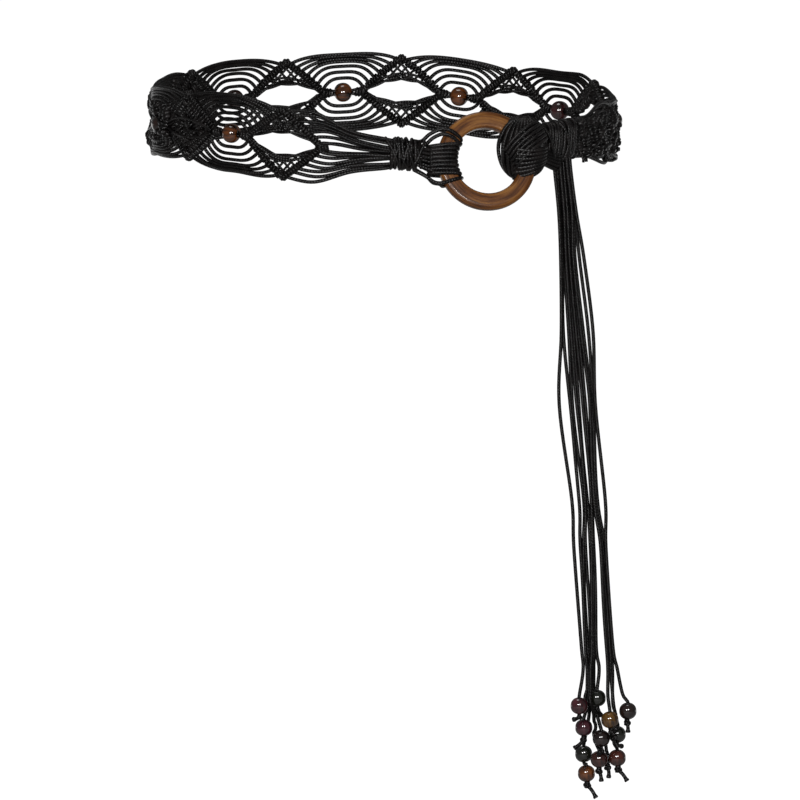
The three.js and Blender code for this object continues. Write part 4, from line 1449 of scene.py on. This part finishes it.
DROPS = (0, 0.075, 0.15, 0.265, 0.38, 0.53, 0.605, 0.755, 0.795, 0.835, 0.855, 0.87, 0.89, 0.91)
STRANDS = (
    Strand(
        (-0.09, -0.02, 0.01, 0.02, -0.01, 0.18, 0.21, 0.32, 0.35),
        (-0.25, -0.2, -0.15, -0.1, -0.1, -0.1, -0.1, -0.25, -0.35),
        (1,), (0, 0, -0.3), (-0.7, -0.4, -0.2), 0.28,
    ),
    Strand(
        (-0.05, 0, 0.035, 0.05, 0.155, 0.3, 0.3, 0.38, 0.41, 0.41, 0.41),
        (0, 0, 0, 0, -0.05, -0.05, -0.05, 0, 0, 0.05, 0),
        (2,), (0, 0, -0.35), (-1.1, -0.4, -0.95), 0.36,
    ),
    Strand(
        (-0.04, 0.04, 0.06, 0.13, 0.19, 0.34, 0.35, 0.42, 0.44, 0.45, 0.45, 0.44, 0.41),
        (0.25, 0.2, 0.15, 0.1, 0.15, 0.1, 0.1, 0.2, 0.3, 0.4, 0.45, 0.45, 0.5),
        (3, 4), (0.1, 0, -0.35), (1, -0.2, -1.4), 0.4,
    ),
    Strand(
        (0, 0.06, 0.09, 0.165, 0.25, 0.39, 0.4, 0.46, 0.49, 0.51, 0.52, 0.56, 0.61, 0.68),
        (-0.25, -0.15, -0.1, -0.05, -0.05, 0, 0.05, 0.4, 0.55, 0.75, 0.7, 0.6, 0.5, 0.4),
        (), (0, 0, -0.2), (0.1, 0.1, -1.15), 0.36, (0.72, 0.2, 0.95),
    ),
    Strand(
        (0.02, 0.09, 0.12, 0.2, 0.285, 0.41, 0.44, 0.51, 0.51, 0.51, 0.52, 0.56),
        (0.25, 0.2, 0.15, 0.1, 0.1, 0.15, 0.2, 0.1, 0.3, 0.55, 0.45, 0.05),
        (10,), (0.1, -0.55, -0.35), (-0.4, -0.45, -0.2), 0.24,
    ),
    Strand(
        (0.05, 0.11, 0.145, 0.24, 0.345, 0.46, 0.49, 0.48, 0.46, 0.46, 0.49, 0.51, 0.51, 0.54),
        (0, -0.05, -0.05, -0.05, 0, 0, -0.05, -0.25, -0.35, -0.5, -0.45, -0.2, 0.05, 0.2),
        (5,), (0, 0, -0.35), (0.25, 0, -1.15), 0.38,
    ),
    Strand(
        (0.08, 0.14, 0.17, 0.28, 0.38, 0.49, 0.51, 0.54, 0.59),
        (0.25, 0.15, 0.1, 0.1, 0.1, 0.15, 0.15, 0.3, 0.15),
        (9,), (0, 0, -0.3), (0.45, 0.55, -0.75), 0.34,
    ),
    Strand(
        (0.1, 0.18, 0.2, 0.315, 0.45, 0.5, 0.6, 0.7, 0.72, 0.72),
        (-0.25, -0.2, -0.15, -0.15, -0.15, -0.2, -0.2, -0.25, -0.3, -0.4),
        (7,), (0.15, -0.1, -0.3), (0.55, -0.4, -0.8), 0.3,
    ),
    Strand(
        (0.11, 0.2, 0.225, 0.35, 0.47, 0.54, 0.64, 0.74, 0.76, 0.79, 0.81, 0.84),
        (0, 0, 0, 0, 0, 0, 0, 0, 0, 0, 0, 0.1),
        (11,), (0, 0.1, -0.25), (0.55, 0.7, -0.2), 0.28,
    ),
    Strand(
        (0.14, 0.22, 0.29, 0.425, 0.5, 0.57, 0.66, 0.76, 0.79, 0.79, 0.8, 0.84, 0.81, 0.81),
        (0.25, 0.2, 0.2, 0.2, 0.2, 0.2, 0.2, 0.2, 0.2, 0.2, 0.2, 0.15, -0.4, -0.5),
        (6,), (0.1, 0, -0.35), (1.05, -0.2, -1.25), 0.4,
    ),
    Strand(
        (0.15, 0.24, 0.36, 0.495, 0.53, 0.68, 0.69, 0.79, 0.86, 0.94),
        (-0.1, -0.1, -0.1, -0.05, -0.1, -0.1, -0.1, -0.1, -0.05, -0.05),
        (8,), (-0.1, 0, -0.35), (0.1, -0.45, -1), 0.36,
    ),
)
TASSEL_BEADS = {
    1: TasselBead(0.29, 0.852, -0.5, BeadTint.PLUM),
    2: TasselBead(0.36, 0.888, -0.1, BeadTint.WINE),
    3: TasselBead(0.36, 0.932, 0.5, BeadTint.MOSS),
    4: TasselBead(0.4, 0.962, 0.3, BeadTint.AMBER),
    5: TasselBead(0.59, 0.938, -0.1, BeadTint.RUSSET),
    6: TasselBead(0.86, 0.936, -0.05, BeadTint.RUSSET),
    7: TasselBead(0.75, 0.874, -0.5, BeadTint.OLIVE),
    8: TasselBead(1.02, 0.862, -0.05, BeadTint.COFFEE),
    9: TasselBead(0.56, 0.842, 0, BeadTint.MOSS),
    10: TasselBead(0.62, 0.904, -0.35, BeadTint.COFFEE),
    11: TasselBead(0.86, 0.9, 0.2, BeadTint.MOSS),
}


@dataclass(frozen=True)
class BeadShape:
    """A drilled bead: its radius, its length and the radius of its bore.

    Its skin stays inside the radius: the trim is the share of it that the widest place has.
    """

    radius: float
    length: float
    bore: float
    lip: float = 0.25
    rim: float = 0.7
    flat_end: float = 0.93
    trim: float = 0.99
    sides: int = 40

    def profile(self) -> Array:
        """Lay out the section, over the skin from one rim to the other and back in the bore.

        Returns:
            Rows of radius and height.
        """
        half, end = self.length / 2, self.flat_end
        t = np.linspace(-end, end, 17)
        skin = np.stack([self.radius * (1 - np.abs(t) ** 2.2) ** 0.48 * self.trim, t / end * half], -1)
        skin[:, 0] = np.maximum(skin[:, 0], self.bore + self.rim)
        outer, inner = (self.bore + self.lip, half * 0.985), (self.bore, half * end)
        return np.vstack([skin, outer, inner, (inner[0], -inner[1]), (outer[0], -outer[1])])

    def make(self, name: str, centre: Array, axis: Array, tint: BeadTint) -> None:
        """Build one bead.

        Args:
            name: The node that it stands for.
            centre: Its middle in millimetres.
            axis: The direction of its bore.
            tint: Its tint.
        """
        axis = axis / np.linalg.norm(axis)
        first = np.cross(axis, [0.2, 0.9, 0.35])
        first /= np.linalg.norm(first)
        turn = np.stack([first, np.cross(axis, first), axis], axis=1)
        piece = name.replace("bead_", "bead_piece_")
        mesh = turned(piece, self.profile(), self.sides, centre, turn)
        finished(piece, mesh, tint.material(), name)


@dataclass
class Tassel:
    """Eleven strands that hang from the neck, with eleven beads and their knots.

    All but the two outer strands wind about their neighbours between two drops, and a tail's end
    is frayed.
    """

    line: BeltLine
    length: float = 383
    spread: float = 40
    depth: float = 10
    forward: float = 1.6
    swing: float = 6
    top: float = -15
    strand: float = 1.12
    bead: BeadShape = BeadShape(5.3, 9.5, 1.35)
    clearance: float = 0.9
    seat: float = 0.7
    twist: float = 0.7
    twist_drops: tuple = (0.36, 0.8)
    twist_turns: float = 2.8
    twist_step: float = 2.4
    knot_cord: float = 0.92
    tail: float = 1.15
    frayed: tuple = (1.25, 1.6, 1.5)
    seed: int = 31

    def twisted(self, way: Array, number: int) -> Array:
        """Wind a strand loosely about its neighbours in the middle of the tassel.

        Args:
            way: Points of the strand.
            number: The strand's number, from the left.

        Returns:
            The moved points. The two outer strands keep their place.
        """
        if number in (0, len(STRANDS) - 1):
            return way
        start, end = self.twist_drops
        drop = (self.top - way[:, 2]) / self.length
        reach = self.twist * np.sin(np.pi * np.clip((drop - start) / (end - start), 0, 1))
        angle = TURN * self.twist_turns * drop + self.twist_step * number
        aside = np.stack([np.sin(angle), np.cos(angle), np.zeros_like(angle)], -1)
        return way + reach[:, None] * aside

    def place(self, x: float, depth: float, drop: float) -> Array:
        """Return a place in the tassel.

        Args:
            x: Its share of the spread, from the middle of the neck.
            depth: Its share of the depth.
            drop: Its share of the length, from the top.

        Returns:
            The place.
        """
        right, back, _ = self.line.place(self.line.neck_s, 0, 0)
        back += self.depth * depth - self.forward - self.swing * drop
        return np.array([right + self.spread * x, back, self.top - self.length * drop])

    def bead_centre(self, number: int) -> Array:
        """Return the middle of a bead."""
        row = TASSEL_BEADS[number]
        return self.place(row.x, row.depth, row.drop)

    def clear_of_beads(self, place: Array, own: tuple) -> Array:
        """Move a place sideways where it would touch a bead that isn't on its strand.

        Args:
            place: The place.
            own: The numbers of the strand's own beads.

        Returns:
            The moved place.
        """
        reach = self.bead.radius + self.strand + self.clearance
        for number in TASSEL_BEADS:
            away = place - self.bead_centre(number)
            if number in own or abs(away[2]) >= reach:
                continue
            needed = math.sqrt(reach**2 - away[2] ** 2)
            distance = math.hypot(away[0], away[1])
            if distance < needed:
                place[:2] += away[:2] * (needed / distance - 1)
        return place

    def way(self, strand: Strand) -> Array:
        """Return the way of a strand from the neck to its knot.

        Args:
            strand: The strand.

        Returns:
            Points close together.
        """
        rows = [self.place(x, d, drop) for x, d, drop in zip(strand.x, strand.depth, DROPS)]
        rows.insert(0, rows[0] + [0, 0, 9])
        for number in strand.beads:
            centre = self.bead_centre(number)
            half = np.array([0, 0, self.bead.length / 2 + self.seat])
            rows += [centre + half, centre, centre - half]
        if strand.last:
            rows.append(self.place(*strand.last))
        rows.append(rows[-1] + np.array(strand.knot) * self.bead.radius)
        way = self.twisted(smooth(rows, 1.9), STRANDS.index(strand))
        return np.array([self.clear_of_beads(place, strand.beads) for place in way])

    def knot(self, mesh: CordMesh, centre: Array, strand: Strand, spin: float) -> None:
        """Add the knot under a strand's last bead, with its tail.

        Args:
            mesh: The mesh that takes them.
            centre: The knot's middle.
            strand: The strand.
            spin: How far the knot is turned about the strand.
        """
        size = strand.lump * self.bead.radius * 1.2
        t = circle(36)
        x, y = np.sin(t) + 2 * np.sin(2 * t), np.cos(t) - 2 * np.cos(2 * t)
        c, q = math.cos(spin), math.sin(spin)
        loop = np.stack([c * x - q * y, q * x + c * y, -1.3 * np.sin(3 * t)], -1)
        mesh.add(centre + loop * max(size - 0.75, 0.6) / 3, self.knot_cord, closed=True)
        lump = [centre + [0, 0, size], centre, centre - [0, 0, size * 0.6]]
        mesh.add(smooth(lump, 0.7), size * 0.7)
        tail = np.array(strand.tail) * self.bead.radius
        bend = np.cross(tail, [0.3, 0.8, 0.2]) * 0.08
        line = smooth([centre, centre + tail * 0.45 + bend, centre + tail], 0.9)
        radius = np.full(len(line), self.tail)
        radius[-len(self.frayed) :] = self.frayed
        mesh.add(line, radius)

    def make(self, finish: Material) -> None:
        """Build the tassel and its beads.

        Args:
            finish: The cord's material.
        """
        random = np.random.default_rng(self.seed)
        mesh = CordMesh(9)
        for strand in STRANDS:
            way = self.way(strand)
            mesh.add(way, self.strand)
            self.knot(mesh, way[-1], strand, random.uniform(0, TURN))
        mesh.build("tassel_strands", finish, "tassel")
        for number, row in TASSEL_BEADS.items():
            axis = np.array([random.normal(0, 0.08), random.normal(0, 0.08), 1])
            self.bead.make(f"tassel_bead_{number}", self.bead_centre(number), axis, row.tint)


@dataclass
class BeltBeads:
    """The beads in the middle of the fans."""

    line: BeltLine
    bead: BeadShape = BeadShape(5.9, 10.2, 1.9)
    # Beads that get the belt wood darkened as painted shade.
    shaded: tuple = (2, 3, 4, 8)
    dusky: tuple = (7,)

    def make(self) -> None:
        """Build the beads."""
        for number in range(1, self.line.motifs):
            s = self.line.first + (number - 0.5) * self.line.pitch
            before = self.line.place(s - self.bead.length / 2, 0, 0)
            after = self.line.place(s + self.bead.length / 2, 0, 0)
            # Beads in the shade of bunched cords get the painted shade tint.
            tint = BeadTint.SHADED if number in self.shaded else BeadTint.BELT
            tint = BeadTint.DUSKY if number in self.dusky else tint
            self.bead.make(f"belt_bead_{number}", (before + after) / 2, after - before, tint)


# The studio


@dataclass(frozen=True)
class Lamp:
    """A soft round light: its place and its width in metres, and its power in watts."""

    name: str
    place: tuple
    size: float
    power: float

    def make(self, target: Vector) -> None:
        """Build the light.

        Args:
            target: The place that it looks at.
        """
        data = bpy.data.lights.new(self.name, "AREA")
        data.shape = "DISK"
        data.size = self.size
        data.energy = self.power
        made = bpy.data.objects.new(self.name, data)
        made.location = self.place
        made.rotation_euler = (target - Vector(self.place)).to_track_quat("-Z", "Y").to_euler()
        bpy.context.collection.objects.link(made)


@dataclass
class Studio:
    """The camera, the lights and the pale floor, which glows where it is the belt's background."""

    distance: float = 20.0
    elevation: float = 8.25
    lens: float = 1500
    sensor: float = 36
    clip: float = 60
    across: float = 0.0102
    upwards: float = -0.1673
    floor_height: float = -0.62
    floor_reach: float = 7.0
    floor_tone: float = 0.3
    glow: tuple = (0.8, 1.25)
    dim: float = 0.08
    sky: float = 0.12
    lit: tuple = (0.02, 0, -0.1)
    lamps: tuple = (
        Lamp("left", (-0.5, -2.25, 0.5), 0.4, 27),
        Lamp("right", (0.5, -2.25, 0.6), 0.4, 22),
        Lamp("top", (-0.2, 0.2, 1.7), 0.9, 7),
    )

    def camera(self) -> None:
        """Place the camera at the photograph's angle."""
        lift = math.radians(self.elevation)
        up = Vector((0, math.sin(lift), math.cos(lift)))
        back = Vector((0, -math.cos(lift), math.sin(lift)))
        data = bpy.data.cameras.new("camera")
        data.lens = self.lens
        data.sensor_width = self.sensor
        data.clip_end = self.clip
        made = bpy.data.objects.new("camera", data)
        made.location = Vector((self.across, 0, 0)) + up * self.upwards + back * self.distance
        made.rotation_euler = (-back).to_track_quat("-Z", "Y").to_euler()
        bpy.context.collection.objects.link(made)
        bpy.context.scene.camera = made

    def floor_finish(self) -> Material:
        """Build the floor's material, whose glow rises from the belt towards the background.

        Returns:
            The material.
        """
        shade = Shader("pale_floor")
        start, end = self.glow
        slope = 1 / (end - start)
        back = shade.parts(shade.place())[1]
        rise = shade.math("MULTIPLY_ADD", back, slope, -start * slope, use_clamp=True)
        white = (1, 1, 1, 1)
        tone = (self.floor_tone, self.floor_tone, self.floor_tone, 1)
        shade.set(Base_Color=tone, Roughness=0.85, Specular_IOR_Level=0.1)
        shade.set(Emission_Color=white, Emission_Strength=shade.range(rise, self.dim, 1.0))
        return shade.material

    def floor(self) -> None:
        """Add the pale floor."""
        mesh = bpy.data.meshes.new("floor")
        ways = ((-1, -1), (1, -1), (1, 1), (-1, 1))
        reach, low = self.floor_reach, self.floor_height
        mesh.from_pydata([(x * reach, y * reach, low) for x, y in ways], [], [(0, 1, 2, 3)])
        mesh.materials.append(self.floor_finish())
        made = bpy.data.objects.new("floor", mesh)
        bpy.context.collection.objects.link(made)

    def make(self) -> None:
        """Set up the lights, the floor and the dim light from all round."""
        scene = bpy.context.scene
        scene.view_settings.view_transform = "Standard"
        world = bpy.data.worlds.new("studio")
        world.use_nodes = True
        sky = world.node_tree.nodes["Background"]
        sky.inputs["Color"].default_value = (1, 1, 1, 1)
        sky.inputs["Strength"].default_value = self.sky
        scene.world = world
        for lamp in self.lamps:
            lamp.make(Vector(self.lit))
        self.floor()


def main() -> None:
    """Build the belt from its pieces, in order."""
    logging.basicConfig(level=logging.INFO, format="%(name)s: %(message)s")
    LOG.info("%d nodes in the frame", len(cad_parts))
    studio = Studio()
    studio.camera()
    line = BeltLine()
    cord = CordFinish().make()
    # The wrapping's braid paints fainter highlight on its crests and fainter shade in its grooves.
    wrapping = CordFinish("black_waxed_wrapping", relief=(0.07, 0.9), braid=0.12).make()
    NettedBand(line).make(cord, wrapping)
    ring = WoodRing(line)
    ring.make(RingFinish().make())
    RingHitches(ring).make(wrapping)
    gather = Sleeve(
        line,
        name="gathering_wraps",
        node="gathering_knot",
        centre=line.gather_s,
        length=line.gather_length,
        height=19,
        depth=10,
        turns=8,
        slant=0.3,
        seed=3,
        crossings=6,
        rough=0.8,
    )
    neck = Sleeve(
        line,
        name="neck_wraps",
        node="neck_wrap",
        centre=line.neck_s + 4.6,
        length=25,
        height=25,
        depth=14,
        turns=11,
        slant=-1.6,
        seed=5,
        crossings=4,
        rough=0.6,
    )
    for sleeve in (gather, neck):
        sleeve.make(wrapping)
    ClosingKnot(ring).make(wrapping)
    BeltBeads(line).make()
    Tassel(line).make(cord)
    studio.make()


if __name__ == "__main__":
    main()
